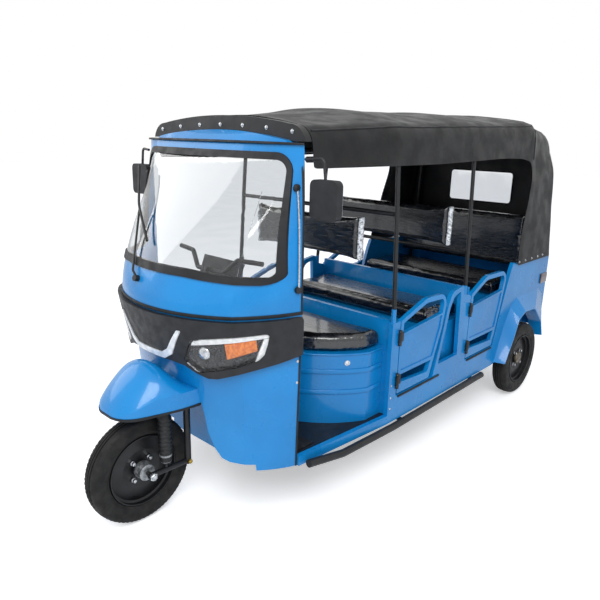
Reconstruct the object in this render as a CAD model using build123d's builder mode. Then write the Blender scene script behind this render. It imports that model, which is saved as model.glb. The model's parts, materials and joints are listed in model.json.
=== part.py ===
"""Electric passenger auto rickshaw: one front wheel, two rear wheels, driver's cab and two passenger benches.

+X forward, +Y to the vehicle's left, +Z up, millimetres. The origin is on the floor, midway along the
vehicle. Lengths along the vehicle are given as distances behind the front axle and turned into X by
behind().
"""

import os
from math import cos, degrees, radians, sin, tan

from build123d import *

os.makedirs("parts", exist_ok=True)

# ---- driving dimensions -------------------------------------------------------------------------
TOTAL_LENGTH = 3355.0          # front of the front tyre to the tail lamps
REAR_TRACK = 1197.0            # between the rear tyres' middle planes
TYRE_DIAMETER = 510.0
RIM_DIAMETER = 335.0
FRONT_TYRE_WIDTH = 96.0
REAR_TYRE_WIDTH = 102.0
BODY_HALF_WIDTH = 592.0        # outer face of the doors and side panels
CAB_HALF_WIDTH = 545.0         # at the cab's rear edge
PANEL_WALL = 25.0              # doors, side panels and cab walls
SHEET = 4.0                    # pressed steel on its own
FLOOR_Z = 330.0                # top of the floor pan
FLOOR_THICKNESS = 12.0
SILL_Z = 288.0                 # lower edge of the body
BELT_Z = 1010.0                # joint between the cab's apron and its upper half
GUTTER_Z = 1708.0              # roof gutter of the cab
RUNNING_CLEARANCE = 0.05       # between a shaft and its bore
BODY_GAP = 0.5                 # between separate panels that follow the same surface

# the bays, from the cab to the tail
WHEEL_WELL_REAR = 360.0        # back wall of the front wheel's well, behind the front axle
CAB_REAR = 485.0               # the cab's rear edge, behind the front axle
DRIVER_BAY = 627.0             # from the cab's rear edge to the first post
BAY_DIFFERENCE = 298.0         # how much longer the middle bay is than the rear bay
QUARTER_TO_AXLE = 368.0        # from the rear quarter's front edge, at sill height, to the rear axle
REAR_OVERHANG = 432.0          # from the rear axle to the tail lamps' lenses
TAIL_LAMP_PROUD = 12.0
TAIL_THICKNESS = 28.0

TYRE_R = TYRE_DIAMETER / 2
WHEELBASE = TOTAL_LENGTH - TYRE_R - REAR_OVERHANG
FIRST_POST = CAB_REAR + DRIVER_BAY
TAIL_FRONT = WHEELBASE - QUARTER_TO_AXLE
SECOND_POST = FIRST_POST + (TAIL_FRONT - FIRST_POST + BAY_DIFFERENCE) / 2
TAIL_WALL = WHEELBASE + REAR_OVERHANG - TAIL_LAMP_PROUD - TAIL_THICKNESS
FRONT_AXLE_X = TOTAL_LENGTH / 2 - TYRE_R
AXLE_Z = TYRE_R


def behind(distance):
    """X of a point that lies the given distance behind the front axle."""
    return FRONT_AXLE_X - distance


REAR_AXLE_X = behind(WHEELBASE)
TAIL_PANEL_X = behind(TAIL_WALL + TAIL_THICKNESS)

LEFT, RIGHT = 1, -1
SIDES = (("left", LEFT), ("right", RIGHT))


def side_plane(y):
    """Sketch plane facing the vehicle's side: local x is X, local y is Z, and extrusion runs towards -Y."""
    return Plane(origin=(0, y, 0), x_dir=(1, 0, 0), z_dir=(0, -1, 0))


def front_plane(x):
    """Sketch plane across the vehicle: local x is Y, local y is Z, and extrusion runs towards +X."""
    return Plane(origin=(x, 0, 0), x_dir=(0, 1, 0), z_dir=(1, 0, 0))


def tube(points, radius, bend=0.0):
    """Adds a round bar or tube along the points, with its corners bent to the given radius."""
    with BuildLine() as path:
        if bend:
            FilletPolyline(*points, radius=bend)
        else:
            Polyline(*points)
    with BuildSketch(Plane(origin=path.line @ 0, z_dir=path.line % 0)) as section:
        Circle(radius)
    sweep(section.sketch, path=path.wire(), transition=Transition.ROUND)


def rod(start, end, radius):
    """Adds a straight round bar between two points."""
    tube((start, end), radius)


def polygon(points, mode=Mode.ADD):
    """Adds or cuts a face with straight sides in the sketch in hand."""
    with BuildLine() as outline:
        Polyline(*points, close=True)
    make_face(outline.edges(), mode=mode)


def rounded(corners, mode=Mode.ADD):
    """Adds or cuts a face whose corners, given as (x, y, radius), are rounded as far as its sides allow."""
    spans = []
    for index, (x, y, radius) in enumerate(corners):
        here = Vector(x, y)
        to_last = Vector(*corners[index - 1][:2]) - here
        to_next = Vector(*corners[(index + 1) % len(corners)][:2]) - here
        half_angle = radians(to_last.get_angle(to_next)) / 2
        reach = min(radius / tan(half_angle), 0.45 * min(to_last.length, to_next.length))
        fit = reach * tan(half_angle)
        towards = (to_last.normalized() + to_next.normalized()).normalized()
        crown = here + towards * (fit / sin(half_angle) - fit)
        spans.append((here + to_last.normalized() * reach, crown, here + to_next.normalized() * reach, fit))
    with BuildLine() as outline:
        for index, (start, crown, end, fit) in enumerate(spans):
            if fit > 0:
                ThreePointArc(start, crown, end)
            Line(end, spans[(index + 1) % len(spans)][0])
    make_face(outline.edges(), mode=mode)


def mirrored_outline(half_outline):
    """Closes a front-view outline of (y, z, ...) corners given for the left half only."""
    return tuple(half_outline) + tuple((-y, *rest) for y, *rest in reversed(half_outline))


def arch_profile(half, low_z, shoulder_z, ridge_z, corner):
    """Adds a face with straight sides, round shoulders and a slightly arched top to the sketch in hand."""
    cut = corner * (1 - cos(radians(45)))
    side_z = shoulder_z - corner
    top = half - corner
    with BuildLine() as outline:
        Polyline((-half, side_z), (-half, low_z), (half, low_z), (half, side_z))
        ThreePointArc((half, side_z), (half - cut, shoulder_z - cut), (top, shoulder_z))
        ThreePointArc((top, shoulder_z), (0, ridge_z), (-top, shoulder_z))
        ThreePointArc((-top, shoulder_z), (cut - half, shoulder_z - cut), (-half, side_z))
    make_face(outline.edges())


def finish(builder, name):
    """Labels a finished piece and writes it."""
    builder.part.label = name
    export_step(builder.part, f"parts/{name}.step")


# ---- wheels -------------------------------------------------------------------------------------
AXLE_R = 10.0
HUB_R = 38.0
DRUM_R = 95.0
DRUM_DEPTH = 34.0
RIM_R = RIM_DIAMETER / 2
RIM_FLANGE = 9.0               # height of the rim's flange above its bead seat
RIM_SHEET = 5.0
DISC_DISH = 12.0               # how far the wheel's disc is dished
TYRE_SHOULDER = 22.0


def wheel_ring(x, y, outward, profile):
    """Turns a closed (axial, radial) profile about the wheel's axis; axial is positive outwards."""
    with BuildSketch(Plane(origin=(x, y, AXLE_Z), x_dir=(0, outward, 0), z_dir=(outward, 0, 0))) as section:
        polygon(profile)
    revolve(section.sketch, axis=Axis((x, y, AXLE_Z), (0, 1, 0)))


def tyre(x, y, width):
    """Adds a tyre about the wheel's axis, with a hollow for the rim."""
    half = width / 2
    bead = half * 0.62
    side = (
        (bead, RIM_R),
        (half * 0.86, RIM_R + RIM_FLANGE),
        (half, TYRE_R - 2.1 * TYRE_SHOULDER),
        (half * 0.95, TYRE_R - TYRE_SHOULDER),
        (half * 0.66, TYRE_R - 0.2 * TYRE_SHOULDER),
    )
    other_side = tuple((-axial, radius) for axial, radius in side)
    wheel_ring(x, y, 1, other_side + ((0, TYRE_R),) + side[::-1])


def rim(x, y, width, outward, drum_side, hub_inner, hub_outer):
    """Adds a steel wheel with its hub and brake drum; the drum is on the side given, +1 outwards."""
    half = width / 2 * 0.86
    seat = RIM_R - BODY_GAP
    well = seat - 3 * RIM_SHEET
    bore = AXLE_R + RUNNING_CLEARANCE
    drum_near, drum_far = sorted((0.0, drum_side * DRUM_DEPTH))
    rings = (
        ((-half, seat), (half, seat), (half, seat - RIM_SHEET), (-half, seat - RIM_SHEET)),
        ((-half * 0.5, seat - RIM_SHEET), (half * 0.5, seat - RIM_SHEET), (half * 0.4, well),
         (-half * 0.4, well)),
        ((0, well), (RIM_SHEET, well), (DISC_DISH + RIM_SHEET, DRUM_R), (RIM_SHEET, HUB_R - RIM_SHEET),
         (0, HUB_R - RIM_SHEET), (DISC_DISH, DRUM_R)),
        ((drum_near, bore), (drum_far, bore), (drum_far, DRUM_R), (drum_near, DRUM_R)),
        ((-hub_inner, bore), (hub_outer, bore), (hub_outer, HUB_R), (-hub_inner, HUB_R)),
    )
    for profile in rings:
        wheel_ring(x, y, outward, profile)


FRONT_HUB_HALF = 36.0
REAR_HUB_OUTER = 30.0

with BuildPart() as front_tyre:
    tyre(FRONT_AXLE_X, 0, FRONT_TYRE_WIDTH)
finish(front_tyre, "front_tyre")

with BuildPart() as front_rim:
    rim(FRONT_AXLE_X, 0, FRONT_TYRE_WIDTH, LEFT, -1, FRONT_HUB_HALF, FRONT_HUB_HALF)
finish(front_rim, "front_rim")

for side_name, side in SIDES:
    wheel_y = side * REAR_TRACK / 2
    with BuildPart() as rear_tyre:
        tyre(REAR_AXLE_X, wheel_y, REAR_TYRE_WIDTH)
    finish(rear_tyre, f"rear_tyre_{side_name}")
    with BuildPart() as rear_rim:
        rim(REAR_AXLE_X, wheel_y, REAR_TYRE_WIDTH, side, -1, DRUM_DEPTH, REAR_HUB_OUTER)
    finish(rear_rim, f"rear_rim_{side_name}")
# ---- front fork and steering --------------------------------------------------------------------
STEERING_RAKE = radians(21.0)
STEERING_FOOT = (behind(200.0), 0.0, 600.0)      # a point on the steering axis, level with the crown
STEERER_R = 17.0
HEAD_TUBE_R = 29.0
HEAD_TUBE_LOW = 62.0                             # along the steering axis from its foot
HEAD_TUBE_LENGTH = 150.0
STEERER_LENGTH = 575.0
FORK_LEG_R = 16.0
FORK_LEG_Y = 98.0
FORK_LEG_X = behind(200.0)
FORK_PIVOT_Z = 250.0
CROWN_Z = 568.0
CROWN_HEIGHT = 26.0
LINK_R = 13.0
SHOCK_X = behind(80.0)
SHOCK_R = 27.0
SHOCK_ROD_R = 8.0
SHOCK_LOW_Z = 300.0
SHOCK_HIGH_Z = CROWN_Z - CROWN_HEIGHT / 2
AXLE_END_Y = FORK_LEG_Y + LINK_R


def along_steering(distance, y=0.0, ahead=0.0):
    """Point at a distance up the steering axis, moved sideways and ahead at right angles to it."""
    foot_x, _, foot_z = STEERING_FOOT
    return (
        foot_x - distance * sin(STEERING_RAKE) + ahead * cos(STEERING_RAKE),
        y,
        foot_z + distance * cos(STEERING_RAKE) + ahead * sin(STEERING_RAKE),
    )


STEERING_DIRECTION = (-sin(STEERING_RAKE), 0, cos(STEERING_RAKE))

with BuildPart() as fork:
    rod(along_steering(-30), along_steering(STEERER_LENGTH), STEERER_R)
    crown_back, crown_front = FORK_LEG_X - 30, SHOCK_X + 30
    with Locations(((crown_back + crown_front) / 2, 0, CROWN_Z)):
        Box(crown_front - crown_back, 2 * (FORK_LEG_Y + FORK_LEG_R), CROWN_HEIGHT)
    for side in (LEFT, RIGHT):
        y = side * FORK_LEG_Y
        rod((FORK_LEG_X, y, FORK_PIVOT_Z - LINK_R), (FORK_LEG_X, y, CROWN_Z), FORK_LEG_R)
        rod((FORK_LEG_X, y, FORK_PIVOT_Z), (FRONT_AXLE_X + LINK_R, y, AXLE_Z), LINK_R)
    rod((FRONT_AXLE_X, -AXLE_END_Y, AXLE_Z), (FRONT_AXLE_X, AXLE_END_Y, AXLE_Z), AXLE_R)
finish(fork, "fork")

with BuildPart() as front_shocks:
    for side in (LEFT, RIGHT):
        y = side * FORK_LEG_Y
        rod((SHOCK_X, y, SHOCK_LOW_Z), (SHOCK_X, y, SHOCK_HIGH_Z - 60), SHOCK_R)
        rod((SHOCK_X, y, AXLE_Z + LINK_R), (SHOCK_X, y, SHOCK_HIGH_Z), SHOCK_ROD_R)
finish(front_shocks, "front_shocks")
# half of the handlebar: distance up the steering axis, from the middle, and behind the axis
BAR_R = 11.0
BAR_POINTS = ((565.0, 95.0, 30.0), (638.0, 165.0, 32.0), (648.0, 300.0, 57.0))
with BuildPart() as handlebar:
    left_half = [along_steering(distance, y, -back) for distance, y, back in BAR_POINTS]
    right_half = [along_steering(distance, -y, -back) for distance, y, back in BAR_POINTS]
    tube(right_half[::-1] + left_half, BAR_R, 22.0)
finish(handlebar, "handlebar")

POD_LOW = 545.0                # along the steering axis
POD_HEIGHT = 88.0
POD_OUTLINE = ((-45.0, 92.0, 10.0), (-45.0, -92.0, 10.0), (-95.0, -118.0, 30.0), (-152.0, -96.0, 30.0),
               (-152.0, 96.0, 30.0), (-95.0, 118.0, 30.0))
with BuildPart() as instrument_pod:
    with BuildSketch(
        Plane(
            origin=along_steering(POD_LOW),
            x_dir=(cos(STEERING_RAKE), 0, sin(STEERING_RAKE)),
            z_dir=STEERING_DIRECTION,
        )
    ) as outline:
        rounded(POD_OUTLINE)
    extrude(outline.sketch, amount=POD_HEIGHT)
finish(instrument_pod, "instrument_pod")

# ---- cab ----------------------------------------------------------------------------------------
# Plan section of the cab: a shallow arc across the nose and an arc round each corner.
NOSE_HALF_SHARE = 0.75         # where the nose arc meets the corner arc, as a share of the half width
NOSE_DROP_SHARE = 0.355        # how far that point lies behind the nose, as a share of the depth
CORNER_HALF_SHARE = 0.90
CORNER_DROP_SHARE = 0.66


def cab_section(z, nose, half_width, grow=0.0, rear=CAB_REAR):
    """Draws the cab's plan section at a height; nose is the distance of its front behind the axle."""
    nose_x = behind(nose) + grow
    half = half_width + grow
    rear_x = behind(rear)
    end_x = behind(CAB_REAR)
    depth = nose_x - end_x
    edge_x = nose_x - NOSE_DROP_SHARE * depth
    edge_y = NOSE_HALF_SHARE * half
    corner_x = nose_x - CORNER_DROP_SHARE * depth
    corner_y = CORNER_HALF_SHARE * half
    with BuildSketch(Plane.XY.offset(z)) as section:
        with BuildLine():
            ThreePointArc((edge_x, -edge_y), (nose_x, 0), (edge_x, edge_y))
            ThreePointArc((edge_x, edge_y), (corner_x, corner_y), (end_x, half))
            if rear_x < end_x:
                Polyline((end_x, half), (rear_x, half), (rear_x, -half), (end_x, -half))
            else:
                Line((end_x, half), (end_x, -half))
            ThreePointArc((end_x, -half), (corner_x, -corner_y), (edge_x, -edge_y))
        make_face()
    return section.sketch


# height, distance of the nose behind the front axle, half width
APRON_SECTIONS = (
    (SILL_Z, 175.0, CAB_HALF_WIDTH - 12),
    (620.0, 165.0, CAB_HALF_WIDTH - 6),
    (BELT_Z, 64.0, CAB_HALF_WIDTH),
)
UPPER_SECTIONS = (
    (BELT_Z, 64.0, CAB_HALF_WIDTH),
    (1120.0, 84.0, CAB_HALF_WIDTH),
    (1330.0, 193.0, CAB_HALF_WIDTH),
    (GUTTER_Z, 425.0, CAB_HALF_WIDTH - 12),
)
DOME_SECTIONS = (
    (GUTTER_Z, 432.0, CAB_HALF_WIDTH - 70),
    (1735.0, 462.0, CAB_HALF_WIDTH - 75),
    (1760.0, 505.0, CAB_HALF_WIDTH - 80),
)


def cab_loft(sections, grow=0.0, rear=CAB_REAR, mode=Mode.ADD, ruled=False):
    """Adds or cuts the solid through the given plan sections."""
    faces = [cab_section(z, nose, half, grow, rear) for z, nose, half in sections]
    loft(faces, ruled=ruled, mode=mode)


def lengthened(sections, over):
    """The same stations with the lowest and highest moved apart, for cutting a hollow."""
    (z_low, *low), *middle, (z_high, *high) = sections
    return ((z_low - over, *low), *middle, (z_high + over, *high))


# Left half of the front wheel's well in front view (y, z), with the apron's lower edge beside it.
WELL_HALF_OUTLINE = (
    (190.0, 632.0), (216.0, 574.0), (237.0, 444.0), (270.0, 372.0), (303.0, 331.0), (339.0, 319.0),
    (436.0, 317.0), (442.0, SILL_Z - 60),
)
WELL_TOP_Z = WELL_HALF_OUTLINE[0][1]
WELL_FRONT = -60.0             # past the apron's nose
SPLASH_HALF = 240.0
SPLASH_LOW_Z = 250.0
HOLLOW_OVERRUN = 60.0          # how far a hollow is cut past an open end


def well(rear, grow, mode):
    """Cuts the wheel well's form, grown by a wall, from its back wall to past the nose."""
    half_outline = [(y + grow, z + grow) for y, z in WELL_HALF_OUTLINE]
    with BuildSketch(front_plane(behind(rear))) as outline:
        polygon(mirrored_outline(half_outline))
    extrude(outline.sketch, amount=rear - WELL_FRONT, mode=mode)


with BuildPart() as cab_hollow:
    cab_loft(lengthened(APRON_SECTIONS, 40), -PANEL_WALL, rear=CAB_REAR + HOLLOW_OVERRUN)
    well(WHEEL_WELL_REAR + SHEET, SHEET, Mode.SUBTRACT)

with BuildPart() as cab_apron:
    cab_loft(APRON_SECTIONS)
    add(cab_hollow.part, mode=Mode.SUBTRACT)
    well(WHEEL_WELL_REAR, 0, Mode.SUBTRACT)
    splash_top_z = WELL_HALF_OUTLINE[-2][1]
    with Locations((behind(WHEEL_WELL_REAR + SHEET / 2), 0, (SPLASH_LOW_Z + splash_top_z) / 2)):
        Box(SHEET, 2 * SPLASH_HALF, splash_top_z - SPLASH_LOW_Z)
    with Locations(Location(along_steering(50), (0, -degrees(STEERING_RAKE), 0))):
        Cylinder(HEAD_TUBE_R + BODY_GAP, 160, mode=Mode.SUBTRACT)
finish(cab_apron, "cab_apron")

# Windshield in front view: half widths and heights of its rubber's outer edge, and the rubber's width.
SEAL_TOP_Z = 1670.0
SEAL_BOTTOM_Z = 1147.0
SEAL_BOTTOM_RISE = 22.0        # of the lower edge towards the middle
SEAL_HALF_TOP = CAB_HALF_WIDTH - 45
SEAL_HALF_BOTTOM = CAB_HALF_WIDTH - 22
SEAL_RISE_Y = 200.0
SEAL_WIDTH_Y = 19.0
SEAL_WIDTH_Z = 30.0
SEAL_PROUD = 8.0
GLASS = 5.0
OPENING_SHARE = 0.3            # how far into the rubber's width the cab's opening starts
GLASS_SHARE = 0.7              # and the glass ends


def windshield_cut(share, mode):
    """Cuts or keeps what lies inside the windshield's outline, moved in by a share of the rubber's width."""
    move_y = share * SEAL_WIDTH_Y
    move_z = share * SEAL_WIDTH_Z
    bottom_z = SEAL_BOTTOM_Z + move_z
    rise_z = bottom_z + SEAL_BOTTOM_RISE
    with BuildSketch(front_plane(behind(CAB_REAR + HOLLOW_OVERRUN))) as opening:
        rounded(
            mirrored_outline(
                (
                    (SEAL_RISE_Y, rise_z, 400),
                    (SEAL_HALF_BOTTOM - move_y, bottom_z, 45 - move_y),
                    (SEAL_HALF_TOP - move_y, SEAL_TOP_Z - move_z, 80 - move_z),
                )
            )
        )
    extrude(opening.sketch, amount=CAB_REAR + HOLLOW_OVERRUN, mode=mode)


ROOF_REAR = 545.0
ROOF_WALL = 15.0
ROOF_LEDGE = 12.0              # thickness of the ledge between the gutter and the dome
DOME_HALF = CAB_HALF_WIDTH - 81
DOME_SHOULDER_Z = 1720.0
DOME_RIDGE_Z = 1754.0
DOME_CORNER = 44.0


def roof_form(inset, rear, over):
    """Adds the roof dome's form, moved in by a wall and lengthened downwards."""
    cab_loft(lengthened(DOME_SECTIONS, over), -inset, rear=rear, ruled=True)
    with BuildSketch(front_plane(behind(rear + 1))) as arch:
        arch_profile(
            DOME_HALF - inset,
            GUTTER_Z - 2 * HOLLOW_OVERRUN,
            DOME_SHOULDER_Z - inset,
            DOME_RIDGE_Z - inset,
            DOME_CORNER - inset,
        )
    extrude(arch.sketch, amount=rear + 1, mode=Mode.INTERSECT)


with BuildPart() as cab_roof:
    roof_form(0, ROOF_REAR, 0)

with BuildPart() as cab_roof_hollow:
    roof_form(ROOF_WALL, ROOF_REAR + HOLLOW_OVERRUN, 2 * ROOF_LEDGE)

with BuildPart() as cab_upper_hollow:
    cab_loft(UPPER_SECTIONS, -PANEL_WALL, rear=CAB_REAR + HOLLOW_OVERRUN)
    split(bisect_by=Plane.XY.offset(GUTTER_Z - ROOF_LEDGE), keep=Keep.BOTTOM)

with BuildPart() as cab_upper:
    cab_loft(UPPER_SECTIONS)
    add(cab_upper_hollow.part, mode=Mode.SUBTRACT)
    add(cab_roof.part)
    add(cab_roof_hollow.part, mode=Mode.SUBTRACT)
    windshield_cut(OPENING_SHARE, Mode.SUBTRACT)
finish(cab_upper, "cab_upper")

with BuildPart() as windshield:
    cab_loft(UPPER_SECTIONS)
    cab_loft(UPPER_SECTIONS, -GLASS, rear=CAB_REAR + HOLLOW_OVERRUN, mode=Mode.SUBTRACT)
    windshield_cut(GLASS_SHARE, Mode.INTERSECT)
finish(windshield, "windshield")

with BuildPart() as windshield_seal:
    cab_loft(UPPER_SECTIONS, SEAL_PROUD)
    cab_loft(UPPER_SECTIONS, -GLASS - 6, rear=CAB_REAR + HOLLOW_OVERRUN, mode=Mode.SUBTRACT)
    windshield_cut(0, Mode.INTERSECT)
    windshield_cut(1, Mode.SUBTRACT)
    add(cab_upper.part, mode=Mode.SUBTRACT)
    add(windshield.part, mode=Mode.SUBTRACT)
finish(windshield_seal, "windshield_seal")

# Black fascia round the nose, with the lamps and the U strip let into it: left halves in front view.
FASCIA_SIDE = CAB_HALF_WIDTH + 11
FASCIA_SECTIONS = ((700.0, 112.0, CAB_HALF_WIDTH + 26), (BELT_Z, 42.0, CAB_HALF_WIDTH + 26))
FASCIA_TOP_Z = 1003.0
FASCIA_HALF_OUTLINE = (
    (140.0, 788.0, 20), (205.0, 780.0, 10), (252.0, 754.0, 10), (305.0, 736.0, 15), (345.0, 740.0, 15),
    (431.0, 773.0, 20), (FASCIA_SIDE - 30, 812.0, 15), (FASCIA_SIDE, 832.0, 15),
    (FASCIA_SIDE, 988.0, 10), (FASCIA_SIDE - 14, FASCIA_TOP_Z, 8),
)
LAMP_OUTER = CAB_HALF_WIDTH - 35
LAMP_OUTLINE = (
    (211.0, 819.0, 10), (257.0, 906.0, 14), (297.0, 920.0, 20), (412.0, 939.0, 20), (LAMP_OUTER, 950.0, 10),
    (LAMP_OUTER - 6, 903.0, 10), (LAMP_OUTER - 14, 858.0, 15), (LAMP_OUTER - 28, 834.0, 15),
    (415.0, 799.0, 20), (294.0, 762.0, 15), (270.0, 758.0, 15), (212.0, 798.0, 10),
)
STRIP_OUTER = ((103.0, 794.0, 14), (151.0, 823.0, 18), (190.0, 892.0, 14), (223.0, 945.0, 4))
STRIP_INNER = ((207.0, 947.0, 4), (170.0, 900.0, 14), (132.0, 847.0, 18), (92.0, 822.0, 14))
STRIP_PROUD = 6.0
HOUSING_DEPTH = 8.0
LENS = 5.0


def nose_outline(outlines, mode, inset=0.0):
    """Cuts or keeps what lies inside the front-view outlines, moved in by an inset."""
    with BuildSketch(front_plane(behind(CAB_REAR + HOLLOW_OVERRUN))) as opening:
        for corners in outlines:
            rounded(corners)
        if inset:
            offset(amount=-inset)
    extrude(opening.sketch, amount=CAB_REAR + HOLLOW_OVERRUN + 100, mode=mode)


def nose_shell(inner_sections, inner, outer_sections, outer):
    """Adds a shell round the nose between two surfaces, each moved out from its sections."""
    cab_loft(outer_sections, outer, ruled=True)
    cab_loft(inner_sections, inner, rear=CAB_REAR + HOLLOW_OVERRUN, mode=Mode.SUBTRACT)


LAMP_OUTLINES = (LAMP_OUTLINE, tuple((-y, z, radius) for y, z, radius in reversed(LAMP_OUTLINE)))
STRIP_OUTLINE = (
    tuple((-y, z, radius) for y, z, radius in reversed(STRIP_OUTER)) + STRIP_OUTER
    + STRIP_INNER + tuple((-y, z, radius) for y, z, radius in reversed(STRIP_INNER))
)

with BuildPart() as fascia:
    nose_shell(APRON_SECTIONS, 1.0, FASCIA_SECTIONS, 0)
    nose_outline((mirrored_outline(FASCIA_HALF_OUTLINE),), Mode.INTERSECT)
    nose_outline(LAMP_OUTLINES, Mode.SUBTRACT)
finish(fascia, "fascia")

with BuildPart() as headlight_housings:
    nose_shell(APRON_SECTIONS, 1.0, APRON_SECTIONS, HOUSING_DEPTH)
    nose_outline(LAMP_OUTLINES, Mode.INTERSECT, inset=BODY_GAP)
finish(headlight_housings, "headlight_housings")

with BuildPart() as headlight_lenses:
    nose_shell(FASCIA_SECTIONS, -1.0 - LENS, FASCIA_SECTIONS, -1.0)
    nose_outline(LAMP_OUTLINES, Mode.INTERSECT, inset=BODY_GAP)
finish(headlight_lenses, "headlight_lenses")

with BuildPart() as grille_strip:
    nose_shell(FASCIA_SECTIONS, BODY_GAP, FASCIA_SECTIONS, STRIP_PROUD)
    nose_outline((STRIP_OUTLINE,), Mode.INTERSECT)
finish(grille_strip, "grille_strip")

# Front mudguard, fixed to the cab over the wheel: distance behind the axle, half width, lower edge,
# shoulder and crown heights of each cross-section.
FENDER_SECTIONS = (
    (235.0, 222.0, 575.0, 645.0, 733.0),
    (80.0, 189.0, 570.0, 650.0, 753.0),
    (0.0, 163.0, 566.0, 640.0, 744.0),
    (-56.0, 143.0, 563.0, 620.0, 698.0),
    (-106.0, 113.0, 562.0, 595.0, 645.0),
    (-136.0, 68.0, 563.0, 578.0, 598.0),
    (-143.0, 31.0, 564.0, 571.0, 580.0),
)


def fender_loft(wall, mode=Mode.ADD):
    """Adds or cuts the mudguard's form, moved in and back by a wall."""
    faces = []
    for distance, half, low, shoulder, crown in FENDER_SECTIONS:
        side, top = half - wall, shoulder - wall
        with BuildSketch(front_plane(behind(distance + wall))) as section:
            with BuildLine():
                Polyline((-side, top), (-side, low - wall), (side, low - wall), (side, top))
                ThreePointArc((side, top), (0, crown - wall), (-side, top))
            make_face()
        faces.append(section.sketch)
    loft(faces, mode=mode)


with BuildPart() as front_fender:
    fender_loft(0)
    fender_loft(SHEET, Mode.SUBTRACT)
    cab_loft(APRON_SECTIONS, BODY_GAP, mode=Mode.SUBTRACT)
finish(front_fender, "front_fender")

# Stiff front band of the canopy, bolted over the roof dome's rear edge.
BAND_REAR = 540.0
BAND_DEPTH = 38.0
BAND_HALF = CAB_HALF_WIDTH - 19
BAND_SHOULDER_Z = 1781.0
BAND_RIDGE_Z = 1816.0
BAND_CORNER = 91.0
BAND_FACE = 61.0               # height of the band's front face
BAND_FOOT = 5.0                # above the gutter
with BuildPart() as roof_edge_strip:
    with BuildSketch(front_plane(behind(BAND_REAR))) as arch:
        arch_profile(BAND_HALF, GUTTER_Z - BAND_CORNER, BAND_SHOULDER_Z, BAND_RIDGE_Z, BAND_CORNER)
    extrude(arch.sketch, amount=BAND_DEPTH)
    with BuildSketch(front_plane(behind(BAND_REAR + 1))) as arch:
        arch_profile(
            BAND_HALF - BAND_FACE,
            GUTTER_Z - 2 * BAND_CORNER,
            BAND_SHOULDER_Z - BAND_FACE,
            BAND_RIDGE_Z - BAND_FACE,
            DOME_CORNER + 1,
        )
    extrude(arch.sketch, amount=BAND_DEPTH + 2, mode=Mode.SUBTRACT)
    split(bisect_by=Plane.XY.offset(GUTTER_Z + BAND_FOOT), keep=Keep.TOP)
finish(roof_edge_strip, "roof_edge_strip")

# ---- doors --------------------------------------------------------------------------------------
DOOR_BOTTOM_Z = 440.0
DOOR_GAP = 8.0
POST_PANEL_TOP_Z = 842.0
FRAME_BAR = 25.0
DOOR_RECESS = 6.0              # of the panel between the door's bars
HINGE_R = 9.0
HINGE_PIN_R = 4.0
HINGE_LENGTH = 48.0
HINGE_KNUCKLE = 16.0
HINGE_STAND_OFF = 10.0
HINGE_LEAF = 36.0
HINGE_Z = (520.0, 756.0)
HINGE_AHEAD = 17.0             # of the pin's centre before the door's front edge

# name, front edge, rear edge low, at its bend and high, bend height, front corner height, peak, peak
# height, rear corner height; places are distances behind the front axle
DOORS = (
    ("front", FIRST_POST + 69, SECOND_POST - 360, SECOND_POST - 252, SECOND_POST - 215, 715.0, 840.0,
     SECOND_POST - 435, 918.0, 910.0),
    ("rear", SECOND_POST + 70, TAIL_FRONT - 27, TAIL_FRONT + 50, TAIL_FRONT + 104, 700.0, 846.0,
     TAIL_FRONT - 185, 932.0, 927.0),
)
DOOR_BELT_Z = 766.0            # top of the door's panel at its front, and its rise to the rear
DOOR_BELT_RISE = 34.0
SLOT_LOW_Z = 498.0
SLOT_HIGH_Z = 543.0
SLOT_DROP = 17.0               # of the slot's lower edge towards the rear


def side_slab(side, y_outer, thickness):
    """Sketch plane for a slab whose outer face lies y_outer from the middle, on the given side."""
    return side_plane(y_outer if side == LEFT else thickness - y_outer)


def door_edge(door, z, inset=0.0):
    """Distance behind the front axle of a door's bent rear edge at a height."""
    _, _, low_edge, bend_edge, high_edge, bend_z, _, _, _, top_z = door
    if z < bend_z:
        share = (z - DOOR_BOTTOM_Z) / (bend_z - DOOR_BOTTOM_Z)
        return low_edge + share * (bend_edge - low_edge) - inset
    share = (z - bend_z) / (top_z - bend_z)
    return bend_edge + share * (high_edge - bend_edge) - inset


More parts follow.
